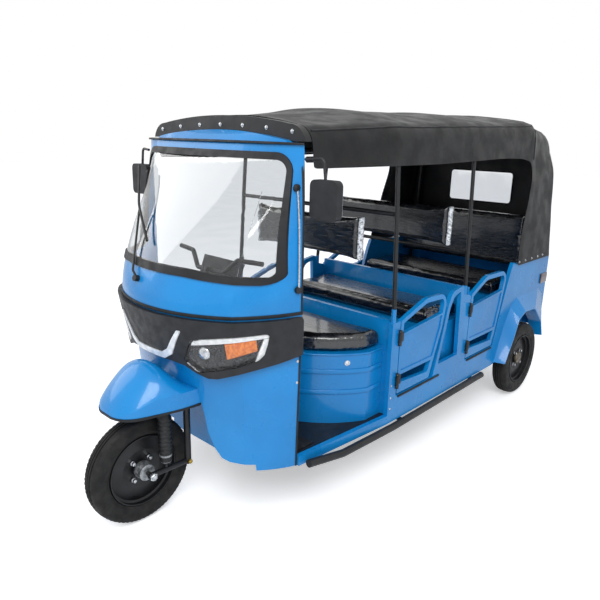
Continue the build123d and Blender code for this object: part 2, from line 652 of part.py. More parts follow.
for door in DOORS:
    door_name, front_edge, low_edge, bend_edge, high_edge, bend_z, corner_z, peak, peak_z, top_z = door
    hinge_x = behind(front_edge - HINGE_AHEAD)
    bar_x = behind(front_edge + FRAME_BAR)
    belt_rear_z = DOOR_BELT_Z + DOOR_BELT_RISE
    door_outline = (
        (behind(front_edge), DOOR_BOTTOM_Z, 6),
        (behind(front_edge), corner_z, 20),
        (behind(peak), peak_z, 140),
        (behind(high_edge), top_z, 70),
        (behind(bend_edge), bend_z, 300),
        (behind(low_edge), DOOR_BOTTOM_Z, 6),
    )
    window_outline = (
        (bar_x, DOOR_BELT_Z, 8),
        (bar_x, corner_z - 16, 12),
        (behind(peak), peak_z - FRAME_BAR - 2, 120),
        (behind(high_edge - FRAME_BAR - 6), top_z - FRAME_BAR - 2, 45),
        (behind(door_edge(door, belt_rear_z, FRAME_BAR)), belt_rear_z, 8),
    )
    recess_outline = (
        (bar_x, SLOT_HIGH_Z + 20, 4),
        (bar_x, DOOR_BELT_Z - 12, 4),
        (behind(door_edge(door, belt_rear_z - 12, FRAME_BAR)), belt_rear_z - 12, 4),
        (behind(door_edge(door, bend_z, FRAME_BAR)), bend_z, 0),
        (behind(door_edge(door, SLOT_HIGH_Z + 20, FRAME_BAR)), SLOT_HIGH_Z + 20, 4),
    )
    slot_outline = (
        (bar_x, SLOT_LOW_Z, 3),
        (bar_x, SLOT_HIGH_Z, 3),
        (behind(door_edge(door, SLOT_HIGH_Z, FRAME_BAR + 4)), SLOT_HIGH_Z, 3),
        (behind(door_edge(door, SLOT_LOW_Z - SLOT_DROP, FRAME_BAR + 9)), SLOT_LOW_Z - SLOT_DROP, 3),
    )
    for side_name, side in SIDES:
        with BuildPart() as door_part:
            with BuildSketch(side_slab(side, BODY_HALF_WIDTH, PANEL_WALL)) as outline:
                rounded(door_outline)
                rounded(window_outline, mode=Mode.SUBTRACT)
                rounded(slot_outline, mode=Mode.SUBTRACT)
            extrude(outline.sketch, amount=PANEL_WALL)
            with BuildSketch(side_slab(side, BODY_HALF_WIDTH, DOOR_RECESS)) as outline:
                rounded(recess_outline)
            extrude(outline.sketch, amount=DOOR_RECESS, mode=Mode.SUBTRACT)
            hinge_y = side * (BODY_HALF_WIDTH + HINGE_STAND_OFF)
            for hinge_z in HINGE_Z:
                with BuildSketch(Plane.XY.offset(hinge_z - HINGE_LENGTH / 2)) as barrel:
                    with Locations((hinge_x, hinge_y)):
                        Circle(HINGE_R)
                    with Locations((hinge_x - HINGE_LEAF / 4, side * (BODY_HALF_WIDTH + 4))):
                        Rectangle(HINGE_LEAF / 2, 6)
                    with Locations((hinge_x - HINGE_LEAF * 0.75, side * (BODY_HALF_WIDTH + 3.5))):
                        Rectangle(HINGE_LEAF / 2, 7)
                    with Locations((hinge_x, hinge_y)):
                        Circle(HINGE_PIN_R + RUNNING_CLEARANCE, mode=Mode.SUBTRACT)
                extrude(barrel.sketch, amount=HINGE_LENGTH)
        finish(door_part, f"{door_name}_door_{side_name}")

# ---- floor and frame ----------------------------------------------------------------------------
RAIL_Y = 280.0
RAIL_WIDTH = 40.0
RAIL_HEIGHT = 50.0
RAIL_KICK = 130.0              # rise of the rails over the rear axle
RAIL_KICK_START = TAIL_FRONT + 40
RAIL_KICK_END = TAIL_FRONT + 180
RAIL_END = TAIL_WALL - 20
RAIL_FRONT = 400.0
FLOOR_FRONT = WHEEL_WELL_REAR + SHEET
FLOOR_REAR = TAIL_FRONT + 20
rail_z = FLOOR_Z - FLOOR_THICKNESS - RAIL_HEIGHT / 2
CROSS_MEMBERS = (RAIL_FRONT + 20, FIRST_POST + 33, SECOND_POST + 45)
DOWN_TUBE_R = 24.0

floor_outline = (
    (behind(FLOOR_FRONT), CAB_HALF_WIDTH - 120),
    (behind(CAB_REAR), CAB_HALF_WIDTH - PANEL_WALL - 14),
    (behind(FIRST_POST), BODY_HALF_WIDTH - PANEL_WALL - 1),
    (behind(FLOOR_REAR), BODY_HALF_WIDTH - PANEL_WALL - 1),
)


def mirrored_plan(half_outline):
    """Closes a plan outline given for the left half only."""
    return tuple(half_outline) + tuple((x, -y) for x, y in reversed(half_outline))


with BuildPart() as chassis_frame:
    for side in (LEFT, RIGHT):
        y = side * RAIL_Y
        with BuildLine() as rail:
            Polyline(
                (behind(RAIL_FRONT), y, rail_z),
                (behind(RAIL_KICK_START), y, rail_z),
                (behind(RAIL_KICK_END), y, rail_z + RAIL_KICK),
                (behind(RAIL_END), y, rail_z + RAIL_KICK),
            )
        with BuildSketch(front_plane(behind(RAIL_FRONT))) as section:
            with Locations((y, rail_z)):
                Rectangle(RAIL_WIDTH, RAIL_HEIGHT)
        sweep(section.sketch, path=rail.wire(), transition=Transition.RIGHT)
    for distance in CROSS_MEMBERS:
        with Locations((behind(distance), 0, rail_z)):
            Box(RAIL_WIDTH, 2 * RAIL_Y, RAIL_HEIGHT)
    with Locations((behind(RAIL_END - RAIL_WIDTH / 2), 0, rail_z + RAIL_KICK)):
        Box(RAIL_WIDTH, 2 * RAIL_Y, RAIL_HEIGHT)
    # head tube with the tube that carries it, over the back of the wheel well
    tube(
        (
            along_steering(HEAD_TUBE_LOW + HEAD_TUBE_LENGTH / 2),
            (behind(RAIL_FRONT + 20), 0, WELL_TOP_Z + 50),
            (behind(RAIL_FRONT + 20), 0, rail_z),
        ),
        DOWN_TUBE_R,
        50.0,
    )
    rod(along_steering(HEAD_TUBE_LOW), along_steering(HEAD_TUBE_LOW + HEAD_TUBE_LENGTH), HEAD_TUBE_R)
    with BuildSketch(Plane(origin=along_steering(-20), z_dir=STEERING_DIRECTION)) as bore:
        Circle(STEERER_R + RUNNING_CLEARANCE)
    extrude(bore.sketch, amount=STEERER_LENGTH, mode=Mode.SUBTRACT)
finish(chassis_frame, "chassis_frame")

with BuildPart() as floor_pan:
    with BuildSketch(Plane.XY.offset(FLOOR_Z - FLOOR_THICKNESS)) as plan:
        polygon(mirrored_plan(floor_outline))
    extrude(plan.sketch, amount=FLOOR_THICKNESS)
    add(chassis_frame.part, mode=Mode.SUBTRACT)
finish(floor_pan, "floor_pan")

# ---- side panels between the cab and the rear quarter -------------------------------------------
POST_PANEL_FRONT = FIRST_POST - 5
SILL_TOP_Z = DOOR_BOTTOM_Z - DOOR_GAP
DOORWAY_SILL_Z = 335.0         # top of the sill under the driver's doorway
POST_STUB_R = 12.5
POST_STUB_TOP_Z = 912.0
first_door_front = DOORS[0][1] - DOOR_GAP
second_door_front = DOORS[1][1] - DOOR_GAP
# (distance behind the front axle, height, corner radius), round the post panels and the fixed frame
PANEL_CORNERS = (
    (POST_PANEL_FRONT, SILL_Z, 0),
    (POST_PANEL_FRONT, POST_PANEL_TOP_Z, 4),
    (first_door_front, POST_PANEL_TOP_Z, 4),
    (first_door_front, SILL_TOP_Z, 0),
    (SECOND_POST - 312, SILL_TOP_Z, 0),
    (SECOND_POST - 250, 637.0, 300),
    (SECOND_POST - 200, 830.0, 120),
    (SECOND_POST - 165, 902.0, 70),
    (SECOND_POST - 35, 922.0, 18),
    (SECOND_POST - 26, 864.0, 4),
    (SECOND_POST + 45, 848.0, 10),
    (second_door_front, 836.0, 6),
    (second_door_front, SILL_TOP_Z, 0),
    (TAIL_FRONT - DOOR_GAP, SILL_TOP_Z, 0),
    (TAIL_FRONT - DOOR_GAP, SILL_Z, 0),
)
FRAME_OPENING = (
    (SECOND_POST - 265, 492.0, 8), (SECOND_POST - 199, 720.0, 300), (SECOND_POST - 176, 810.0, 80),
    (SECOND_POST - 140, 872.0, 50), (SECOND_POST - 66, 890.0, 10), (SECOND_POST - 44, 495.0, 8),
)


def on_side(corners):
    """Turns (distance, z, radius) corners into (x, z, radius)."""
    return tuple((behind(distance), z, radius) for distance, z, radius in corners)


with BuildPart() as side_panels:
    for side in (LEFT, RIGHT):
        with BuildSketch(side_slab(side, BODY_HALF_WIDTH, PANEL_WALL)) as outline:
            rounded(on_side(PANEL_CORNERS))
            rounded(on_side(FRAME_OPENING), mode=Mode.SUBTRACT)
        extrude(outline.sketch, amount=PANEL_WALL)
        with BuildSketch(Plane.XY.offset(SILL_Z)) as plan:
            polygon(
                (
                    (behind(CAB_REAR + 2), side * CAB_HALF_WIDTH),
                    (behind(POST_PANEL_FRONT), side * BODY_HALF_WIDTH),
                    (behind(POST_PANEL_FRONT), side * (BODY_HALF_WIDTH - PANEL_WALL)),
                    (behind(CAB_REAR + 2), side * (CAB_HALF_WIDTH - PANEL_WALL)),
                )
            )
        extrude(plan.sketch, amount=DOORWAY_SILL_Z - SILL_Z)
        post_y = side * (BODY_HALF_WIDTH - PANEL_WALL / 2)
        for distance in (FIRST_POST, SECOND_POST - 15):
            rod(
                (behind(distance + POST_STUB_R), post_y, POST_PANEL_TOP_Z - 2),
                (behind(distance + POST_STUB_R), post_y, POST_STUB_TOP_Z),
                POST_STUB_R,
            )
        hinge_y = side * (BODY_HALF_WIDTH + HINGE_STAND_OFF)
        for door in DOORS:
            hinge_x = behind(door[1] - HINGE_AHEAD)
            for hinge_z in HINGE_Z:
                barrel_low = hinge_z - HINGE_LENGTH / 2
                barrel_high = hinge_z + HINGE_LENGTH / 2
                with BuildSketch(Plane.XY.offset(barrel_low - HINGE_KNUCKLE)) as pin:
                    with Locations((hinge_x, hinge_y)):
                        Circle(HINGE_PIN_R)
                extrude(pin.sketch, amount=HINGE_LENGTH + 2 * HINGE_KNUCKLE)
                for knuckle_z in (barrel_low - HINGE_KNUCKLE, barrel_high + BODY_GAP):
                    with BuildSketch(Plane.XY.offset(knuckle_z)) as knuckle:
                        with Locations((hinge_x, hinge_y)):
                            Circle(HINGE_R)
                        with Locations((hinge_x + 6, side * (BODY_HALF_WIDTH + 2))):
                            Rectangle(14, 8)
                    extrude(knuckle.sketch, amount=HINGE_KNUCKLE - BODY_GAP)
finish(side_panels, "side_panels")

# ---- seats --------------------------------------------------------------------------------------
SEAT_BOX_TOP_Z = 705.0
CUSHION_THICKNESS = 90.0
CUSHION_GAP = 1.0
CUSHION_CORNER = 22.0
DRIVER_SEAT_NOSE = CAB_REAR + 175
DRIVER_SEAT_SHOULDER = FIRST_POST - 112
DRIVER_SEAT_HALF = BODY_HALF_WIDTH - 62
BULKHEAD_FRONT = FIRST_POST + 13
BULKHEAD_THICKNESS = 25.0
BULKHEAD_TOP_Z = 845.0
BENCH_HALF = BODY_HALF_WIDTH - 52
MIDDLE_BENCH_FRONT = SECOND_POST - 310
MIDDLE_BENCH_REAR = SECOND_POST + 60
REAR_BENCH_FRONT = TAIL_FRONT + 30
REAR_BENCH_REAR = TAIL_WALL - 270
REAR_BULKHEAD_TOP_Z = 885.0
inner_half = BODY_HALF_WIDTH - PANEL_WALL


def seat_plan(z, grow):
    """Draws the driver's D-shaped seat in plan."""
    with BuildSketch(Plane.XY.offset(z)) as plan:
        with BuildLine():
            shoulder_x = behind(DRIVER_SEAT_SHOULDER)
            rear_x = behind(BULKHEAD_FRONT) + CUSHION_GAP
            half = DRIVER_SEAT_HALF + grow
            ThreePointArc((shoulder_x, -half), (behind(DRIVER_SEAT_NOSE) + grow, 0), (shoulder_x, half))
            Polyline((shoulder_x, half), (rear_x, half), (rear_x, -half), (shoulder_x, -half))
        make_face()
    return plan.sketch


def block(front, rear, half, low_z, high_z):
    """Adds a plain block across the vehicle between two distances behind the front axle."""
    with Locations((behind((front + rear) / 2), 0, (low_z + high_z) / 2)):
        Box(rear - front, 2 * half, high_z - low_z)


with BuildPart() as driver_seat_box:
    extrude(seat_plan(FLOOR_Z, 0), amount=SEAT_BOX_TOP_Z - FLOOR_Z)
finish(driver_seat_box, "driver_seat_box")

with BuildPart() as driver_cushion:
    extrude(seat_plan(SEAT_BOX_TOP_Z + CUSHION_GAP, 10), amount=CUSHION_THICKNESS)
    fillet(driver_cushion.faces().sort_by(Axis.Z)[-1].edges(), CUSHION_CORNER)
finish(driver_cushion, "driver_cushion")

with BuildPart() as bulkheads:
    for front, top_z in ((BULKHEAD_FRONT, BULKHEAD_TOP_Z), (MIDDLE_BENCH_REAR, REAR_BULKHEAD_TOP_Z)):
        block(front, front + BULKHEAD_THICKNESS, inner_half, FLOOR_Z, top_z)
finish(bulkheads, "bulkheads")

with BuildPart() as middle_bench:
    block(MIDDLE_BENCH_FRONT, MIDDLE_BENCH_REAR, BENCH_HALF, FLOOR_Z, SEAT_BOX_TOP_Z)
finish(middle_bench, "middle_bench")

# name, front, rear and lower face of each bench's cushion
REAR_CUSHION_Z = 745.0
BENCH_CUSHIONS = (
    ("middle_cushion", MIDDLE_BENCH_FRONT - 10, MIDDLE_BENCH_REAR - CUSHION_GAP, SEAT_BOX_TOP_Z),
    ("rear_cushion", REAR_BENCH_FRONT, REAR_BENCH_REAR, REAR_CUSHION_Z),
)
for name, front, rear, seat_z in BENCH_CUSHIONS:
    low_z = seat_z + CUSHION_GAP
    with BuildPart() as bench_cushion:
        block(front, rear, BENCH_HALF, low_z, low_z + CUSHION_THICKNESS)
        fillet(bench_cushion.faces().sort_by(Axis.Z)[-1].edges(), CUSHION_CORNER)
    finish(bench_cushion, name)

# name, front face, half width, low and high edges
BACKREST_THICKNESS = 60.0
BACKRESTS = (
    ("driver_backrest", FIRST_POST - 42, 380.0, 1120.0, 1360.0),
    ("middle_backrest", SECOND_POST - 30, 455.0, 1120.0, 1370.0),
    ("rear_backrest", REAR_BENCH_REAR + 10, BODY_HALF_WIDTH - 72, 850.0, 1255.0),
)
for name, front, half, low_z, high_z in BACKRESTS:
    with BuildPart() as backrest:
        block(front, front + BACKREST_THICKNESS, half, low_z, high_z)
        fillet(backrest.faces().sort_by(Axis.X)[-1].edges(), CUSHION_CORNER)
    finish(backrest, name)

# ---- rear body ----------------------------------------------------------------------------------
TAIL_TOP_Z = 935.0
TAIL_LOW_Z = 400.0
TAIL_DECK_Z = 700.0
FLARE_HALF = REAR_TRACK / 2 + REAR_TYRE_WIDTH / 2 + 12.5
FLARE_LIP = 8.0                # width of the lip round the wheel arch
WHEELHOUSE_R = TYRE_R + 20.0
WHEELHOUSE_HALF = REAR_TRACK / 2 - REAR_TYRE_WIDTH / 2 - 47.5
PLATE_BOLT_SPACING = 150.0
PLATE_BOLT_Z = 620.0
PLATE_BOLT_R = 3.5

# (distance behind the front axle, height, corner radius) of the quarter's side, without its arch
QUARTER_CORNERS = (
    (TAIL_FRONT - 6, SILL_Z, 0),
    (TAIL_FRONT - 6, DOOR_BOTTOM_Z, 0),
    (TAIL_FRONT + 75, 700.0, 200),
    (TAIL_FRONT + 130, 858.0, 60),
    (TAIL_FRONT + 148, 905.0, 60),
    (TAIL_FRONT + 178, 966.0, 16),
    (TAIL_FRONT + 215, 950.0, 20),
    (TAIL_WALL, TAIL_TOP_Z, 0),
    (TAIL_WALL, TAIL_LOW_Z, 0),
    (TAIL_WALL - 108, 360.0, 0),
)
# the flare's root on the quarter and its edge round the arch, as (distance from the rear axle, height)
FLARE_ROOT = (
    (-325.0, 300.0), (-230.0, 535.0), (-155.0, 650.0), (-70.0, 706.0), (292.0, 708.0), (384.0, 655.0),
    (384.0, 362.0),
)
FLARE_EDGE = (
    (-304.0, 300.0), (-208.0, 460.0), (-150.0, 583.0), (-64.0, 620.0), (104.0, 612.0), (255.0, 480.0),
    (302.0, 365.0),
)


def arch_opening(y_outer, depth, side, mode):
    """Cuts what lies inside the wheel arch, from y_outer inwards."""
    lip = FLARE_LIP * 0.75
    (first, first_z), *middle, (last, last_z) = FLARE_EDGE
    corners = (
        ((first + FLARE_LIP, SILL_Z - HOLLOW_OVERRUN, 0), (first + FLARE_LIP, first_z, 0))
        + tuple((distance + (lip if distance < 0 else -lip), z - lip, 50) for distance, z in middle)
        + ((last - FLARE_LIP, last_z, 0), (last - FLARE_LIP, SILL_Z - HOLLOW_OVERRUN, 0))
    )
    with BuildSketch(side_slab(side, y_outer, depth)) as opening:
        rounded([(REAR_AXLE_X - distance, z, radius) for distance, z, radius in corners])
    extrude(opening.sketch, amount=depth, mode=mode)


def flare_face(y, outline):
    """One end of the flare's loft, on the plane at the given y."""
    with BuildSketch(side_plane(y)) as face:
        polygon([(REAR_AXLE_X - distance, z) for distance, z in outline])
    return face.sketch


with BuildPart() as rear_body:
    for side in (LEFT, RIGHT):
        with BuildSketch(side_slab(side, BODY_HALF_WIDTH, PANEL_WALL)) as outline:
            rounded(on_side(QUARTER_CORNERS))
        extrude(outline.sketch, amount=PANEL_WALL)
        loft(
            [
                flare_face(side * (BODY_HALF_WIDTH - 1), FLARE_ROOT),
                flare_face(side * FLARE_HALF, FLARE_EDGE),
            ],
            ruled=True,
        )
        arch_depth = FLARE_HALF + 1 - WHEELHOUSE_HALF
        arch_opening(FLARE_HALF + 1, arch_depth, side, Mode.SUBTRACT)
        with BuildSketch(side_slab(side, FLARE_HALF - SHEET, arch_depth - SHEET)) as wheelhouse:
            with Locations((REAR_AXLE_X, AXLE_Z)):
                Circle(WHEELHOUSE_R)
        extrude(wheelhouse.sketch, amount=arch_depth - SHEET - 1, mode=Mode.SUBTRACT)
        with BuildSketch(side_slab(side, WHEELHOUSE_HALF, SHEET)) as wheelhouse:
            polygon(
                (
                    (behind(REAR_BENCH_FRONT + BULKHEAD_THICKNESS), TAIL_LOW_Z),
                    (behind(REAR_BENCH_FRONT + BULKHEAD_THICKNESS), TAIL_DECK_Z),
                    (behind(TAIL_WALL), TAIL_DECK_Z),
                    (behind(TAIL_WALL), TAIL_LOW_Z),
                )
            )
        extrude(wheelhouse.sketch, amount=SHEET)
    block(REAR_BENCH_FRONT + 30, TAIL_WALL, inner_half, TAIL_DECK_Z - SHEET, TAIL_DECK_Z + SHEET)
    block(TAIL_WALL, TAIL_WALL + TAIL_THICKNESS, BODY_HALF_WIDTH, TAIL_LOW_Z, TAIL_TOP_Z)
    with BuildSketch(front_plane(TAIL_PANEL_X)) as holes:
        with Locations((-PLATE_BOLT_SPACING / 2, PLATE_BOLT_Z), (PLATE_BOLT_SPACING / 2, PLATE_BOLT_Z)):
            Circle(PLATE_BOLT_R)
    extrude(holes.sketch, amount=TAIL_THICKNESS, mode=Mode.SUBTRACT)
    block(REAR_BENCH_FRONT, REAR_BENCH_FRONT + BULKHEAD_THICKNESS, inner_half, FLOOR_Z, REAR_CUSHION_Z)
    block(REAR_BENCH_FRONT, REAR_BENCH_REAR, inner_half, REAR_CUSHION_Z - 2 * SHEET, REAR_CUSHION_Z)
    add(chassis_frame.part, mode=Mode.SUBTRACT)
finish(rear_body, "rear_body")

# ---- rear axle, springs and battery -------------------------------------------------------------
AXLE_TUBE_R = 32.0
MOTOR_R = 85.0
MOTOR_LENGTH = 230.0
DIFF_R = 95.0
SPRING_Y = 330.0
SPRING_WIDTH = 50.0
SPRING_HALF = 300.0
SPRING_STACK = 30.0
SPRING_ARCH = 95.0
SPRING_LEAF = 15.0
axle_inner = REAR_TRACK / 2 - DRUM_DEPTH - 2

with BuildPart() as rear_axle:
    rod((REAR_AXLE_X, -axle_inner, AXLE_Z), (REAR_AXLE_X, axle_inner, AXLE_Z), AXLE_TUBE_R)
    shaft_end = REAR_TRACK / 2 + REAR_HUB_OUTER
    rod((REAR_AXLE_X, -shaft_end, AXLE_Z), (REAR_AXLE_X, shaft_end, AXLE_Z), AXLE_R)
    rod((REAR_AXLE_X, -55, AXLE_Z), (REAR_AXLE_X, 55, AXLE_Z), DIFF_R)
    rod((REAR_AXLE_X, 0, AXLE_Z), (REAR_AXLE_X + MOTOR_LENGTH, 0, AXLE_Z), MOTOR_R)
finish(rear_axle, "rear_axle")

with BuildPart() as leaf_springs:
    spring_low = AXLE_Z + AXLE_TUBE_R
    end_low = spring_low + SPRING_ARCH
    end_high = end_low + SPRING_LEAF
    spring_rear, spring_front = REAR_AXLE_X - SPRING_HALF, REAR_AXLE_X + SPRING_HALF
    for side in (LEFT, RIGHT):
        with BuildSketch(side_plane(side * SPRING_Y + SPRING_WIDTH / 2)) as outline:
            with BuildLine():
                ThreePointArc((spring_rear, end_low), (REAR_AXLE_X, spring_low), (spring_front, end_low))
                Line((spring_front, end_low), (spring_front, end_high))
                middle = (REAR_AXLE_X, spring_low + SPRING_STACK)
                ThreePointArc((spring_front, end_high), middle, (spring_rear, end_high))
                Line((spring_rear, end_high), (spring_rear, end_low))
            make_face()
        extrude(outline.sketch, amount=SPRING_WIDTH)
finish(leaf_springs, "leaf_springs")

BATTERY_LENGTH = 420.0
BATTERY_HALF = 260.0
BATTERY_HEIGHT = 240.0
with BuildPart() as battery_block:
    battery_low = rail_z + RAIL_KICK + RAIL_HEIGHT / 2
    battery_front = REAR_BENCH_FRONT + BULKHEAD_THICKNESS + 15
    battery_rear = battery_front + BATTERY_LENGTH
    block(battery_front, battery_rear, BATTERY_HALF, battery_low, battery_low + BATTERY_HEIGHT)
finish(battery_block, "battery_block")

# ---- canopy -------------------------------------------------------------------------------------
CANOPY_CLOTH = 6.0
EAVE_Z = 1540.0
# distance behind the axle, half widths at the eave and above it, shoulder and ridge heights, corner
CANOPY_SECTIONS = (
    (BAND_REAR + 1, BODY_HALF_WIDTH - 46, CAB_HALF_WIDTH - 16, 1783.0, 1816.0, 90.0),
    (FIRST_POST, BODY_HALF_WIDTH - 28, BODY_HALF_WIDTH - 36, 1812.0, 1876.0, 90.0),
    (TAIL_WALL - 390, BODY_HALF_WIDTH - 28, BODY_HALF_WIDTH - 36, 1858.0, 1898.0, 90.0),
    (TAIL_WALL - 340, BODY_HALF_WIDTH - 30, BODY_HALF_WIDTH - 50, 1842.0, 1886.0, 100.0),
    (TAIL_WALL + 20, BODY_HALF_WIDTH - 34, BODY_HALF_WIDTH - 88, 1815.0, 1846.0, 150.0),
)
CANOPY_LOW_HALF = BODY_HALF_WIDTH + 14
CANOPY_LOW_Z = 938.0
# lower edge of the valance and front edge of the rear curtain: distance behind the axle, height
CURTAIN_EDGE = (
    (CAB_REAR, 1608.0), (FIRST_POST + 400, 1611.0), (TAIL_WALL - 820, 1632.0), (TAIL_WALL - 560, 1627.0),
    (TAIL_WALL - 435, 1607.0), (TAIL_WALL - 399, 1546.0), (TAIL_WALL - 395, 1489.0),
    (TAIL_WALL - 452, 1333.0), (TAIL_WALL - 523, 1078.0), (TAIL_WALL - 562, CANOPY_LOW_Z - 60),
)
WINDOW_WIDTH = 530.0
WINDOW_HEIGHT = 250.0
WINDOW_Z = 1392.0
WINDOW_CORNER = 45.0


def canopy_section(distance, eave_half, half, shoulder_z, ridge_z, corner, inset):
    """Draws the canopy's cross-section down to the rear curtain's hem, moved in by the cloth."""
    cut = corner * (1 - cos(radians(45)))
    side, eave, low = half - inset, eave_half - inset, CANOPY_LOW_HALF - inset
    top = shoulder_z - inset
    low_z = CANOPY_LOW_Z - inset
    with BuildSketch(front_plane(behind(distance))) as section:
        with BuildLine():
            Polyline(
                (-side, top - corner), (-eave, EAVE_Z), (-low, low_z), (low, low_z), (eave, EAVE_Z),
                (side, top - corner)
            )
            ThreePointArc((side, top - corner), (side - cut, top - cut), (side - corner, top))
            ThreePointArc((side - corner, top), (0, ridge_z - inset), (corner - side, top))
            ThreePointArc((corner - side, top), (cut - side, top - cut), (-side, top - corner))
        make_face()
    return section.sketch


def canopy_loft(inset, front_over, rear_cut, mode=Mode.ADD):
    """Adds or cuts the canopy's form."""
    faces = []
    for index, (distance, *shape) in enumerate(CANOPY_SECTIONS):
        if index == 0:
            distance -= front_over
        if index == len(CANOPY_SECTIONS) - 1:
            distance -= rear_cut
        faces.append(canopy_section(distance, *shape, inset))
    loft(faces, ruled=True, mode=mode)


with BuildPart() as canopy_cover:
    canopy_loft(0, 0, 0)
    canopy_loft(CANOPY_CLOTH, 20, CANOPY_CLOTH, Mode.SUBTRACT)
    with BuildSketch(side_plane(BODY_HALF_WIDTH + 100)) as side_opening:
        front_x = behind(CURTAIN_EDGE[0][0])
        low_z = CURTAIN_EDGE[-1][1]
        polygon([(front_x, low_z)] + [(behind(distance), z) for distance, z in CURTAIN_EDGE])
    extrude(side_opening.sketch, amount=2 * (BODY_HALF_WIDTH + 100), mode=Mode.SUBTRACT)
    with BuildSketch(front_plane(behind(TAIL_WALL + 60))) as window:
        with Locations((0, WINDOW_Z)):
            RectangleRounded(WINDOW_WIDTH, WINDOW_HEIGHT, WINDOW_CORNER)
    extrude(window.sketch, amount=100, mode=Mode.SUBTRACT)
finish(canopy_cover, "canopy_cover")

with BuildPart() as rear_window:
    with BuildSketch(front_plane(behind(TAIL_WALL + 20) + 1.5)) as window:
        with Locations((0, WINDOW_Z)):
            RectangleRounded(WINDOW_WIDTH - BODY_GAP, WINDOW_HEIGHT - BODY_GAP, WINDOW_CORNER)
    extrude(window.sketch, amount=3)
finish(rear_window, "rear_window")

POST_R = 11.0
POST_FOOT_Y = BODY_HALF_WIDTH - PANEL_WALL / 2
POST_FOOT_Z = POST_STUB_TOP_Z + 2
RAIL_R = 12.5
SIDE_RAIL_Z = 1642.0
SIDE_RAIL_Y = BODY_HALF_WIDTH - 52
REAR_RAIL_Y = SIDE_RAIL_Y - 42  # where the canopy narrows at its tail
REAR_POST = TAIL_WALL - 40
RAIL_BEND = 45.0
BOW_R = 10.0
BOW_GAP = 3.0                  # between the bows and the cloth
BOW_LIFT = 26.0                # of the bows' middle over their shoulders
# distance behind the front axle and half width of the side rails' corners
RAIL_CORNERS = (
    (ROOF_REAR + 10, BAND_HALF - 40), (FIRST_POST, SIDE_RAIL_Y), (TAIL_WALL - 400, SIDE_RAIL_Y),
    (REAR_POST, REAR_RAIL_Y),
)
# distance of each post's foot and top behind the front axle
POSTS = ((FIRST_POST + POST_STUB_R, FIRST_POST + 20), (SECOND_POST, SECOND_POST + 30))
with BuildPart() as canopy_rails:
    for side in (LEFT, RIGHT):
        corners = [(behind(distance), side * y, SIDE_RAIL_Z) for distance, y in RAIL_CORNERS]
        rear_foot = (behind(REAR_POST), side * (BODY_HALF_WIDTH - 47), TAIL_DECK_Z + SHEET + 1)
        tube((*corners, rear_foot), RAIL_R, RAIL_BEND)
        for foot, top in POSTS:
            foot_point = (behind(foot), side * POST_FOOT_Y, POST_FOOT_Z)
            rod(foot_point, (behind(top), side * SIDE_RAIL_Y, SIDE_RAIL_Z), POST_R)
finish(canopy_rails, "canopy_rails")

# distance behind the front axle, rail's half width, canopy's half width, shoulder height and corner
BOWS = (
    (FIRST_POST, SIDE_RAIL_Y, BODY_HALF_WIDTH - 36, 1812.0, 90.0),
    (SECOND_POST, SIDE_RAIL_Y, BODY_HALF_WIDTH - 36, 1833.0, 90.0),
    (TAIL_WALL - 390, SIDE_RAIL_Y, BODY_HALF_WIDTH - 36, 1858.0, 90.0),
    (REAR_POST, REAR_RAIL_Y, BODY_HALF_WIDTH - 88, 1815.0, 150.0),
)
with BuildPart() as canopy_bows:
    for distance, rail_y, half, shoulder_z, corner in BOWS:
        x = behind(distance)
        bow_z = shoulder_z - CANOPY_CLOTH - BOW_GAP - BOW_R
        foot_z = SIDE_RAIL_Z + RAIL_R + 1
        tube(
            (
                (x, 8 - rail_y, foot_z),
                (x, corner - half, bow_z),
                (x, 0, bow_z + BOW_LIFT),
                (x, half - corner, bow_z),
                (x, rail_y - 8, foot_z),
            ),
            BOW_R,
            60.0,
        )
finish(canopy_bows, "canopy_bows")

# distance behind the front axle and height of the bars that carry the backrests
BACKREST_BARS = ((FIRST_POST + 20, 1380.0), (SECOND_POST + 8, 1104.0))
with BuildPart() as backrest_bars:
    for distance, bar_z in BACKREST_BARS:
        lean = (POST_FOOT_Y - SIDE_RAIL_Y) * (bar_z - POST_STUB_TOP_Z) / (SIDE_RAIL_Z - POST_STUB_TOP_Z)
        bar_half = POST_FOOT_Y - lean - POST_R - 1
        rod((behind(distance), -bar_half, bar_z), (behind(distance), bar_half, bar_z), POST_R)
finish(backrest_bars, "backrest_bars")

# ---- step bars, mirrors, wiper and tail lamps ---------------------------------------------------
STEP_R = 19.0
STEP_Y = BODY_HALF_WIDTH + 12
STEP_FRONT_Z = 262.0
STEP_REAR_Z = 270.0
STEP_BRACKET_R = 12.0
with BuildPart() as step_bars:
    for side in (LEFT, RIGHT):
        y = side * STEP_Y
        tube(
            (
                (behind(TAIL_FRONT - 150), y, STEP_REAR_Z),
                (behind(FIRST_POST + 40), y, STEP_FRONT_Z),
                (behind(CAB_REAR + 255), y - side * 4, STEP_FRONT_Z + 12),
                (behind(CAB_REAR + 35), y - side * 28, STEP_FRONT_Z + 38),
            ),
            STEP_R,
            120.0,
        )
        for distance, bar_z in ((FIRST_POST + 138, STEP_FRONT_Z + 2), (TAIL_FRONT - 250, STEP_REAR_Z - 2)):
            rod((behind(distance), side * (RAIL_Y + 5), rail_z), (behind(distance), y, bar_z), STEP_BRACKET_R)
    add(chassis_frame.part, mode=Mode.SUBTRACT)
finish(step_bars, "step_bars")

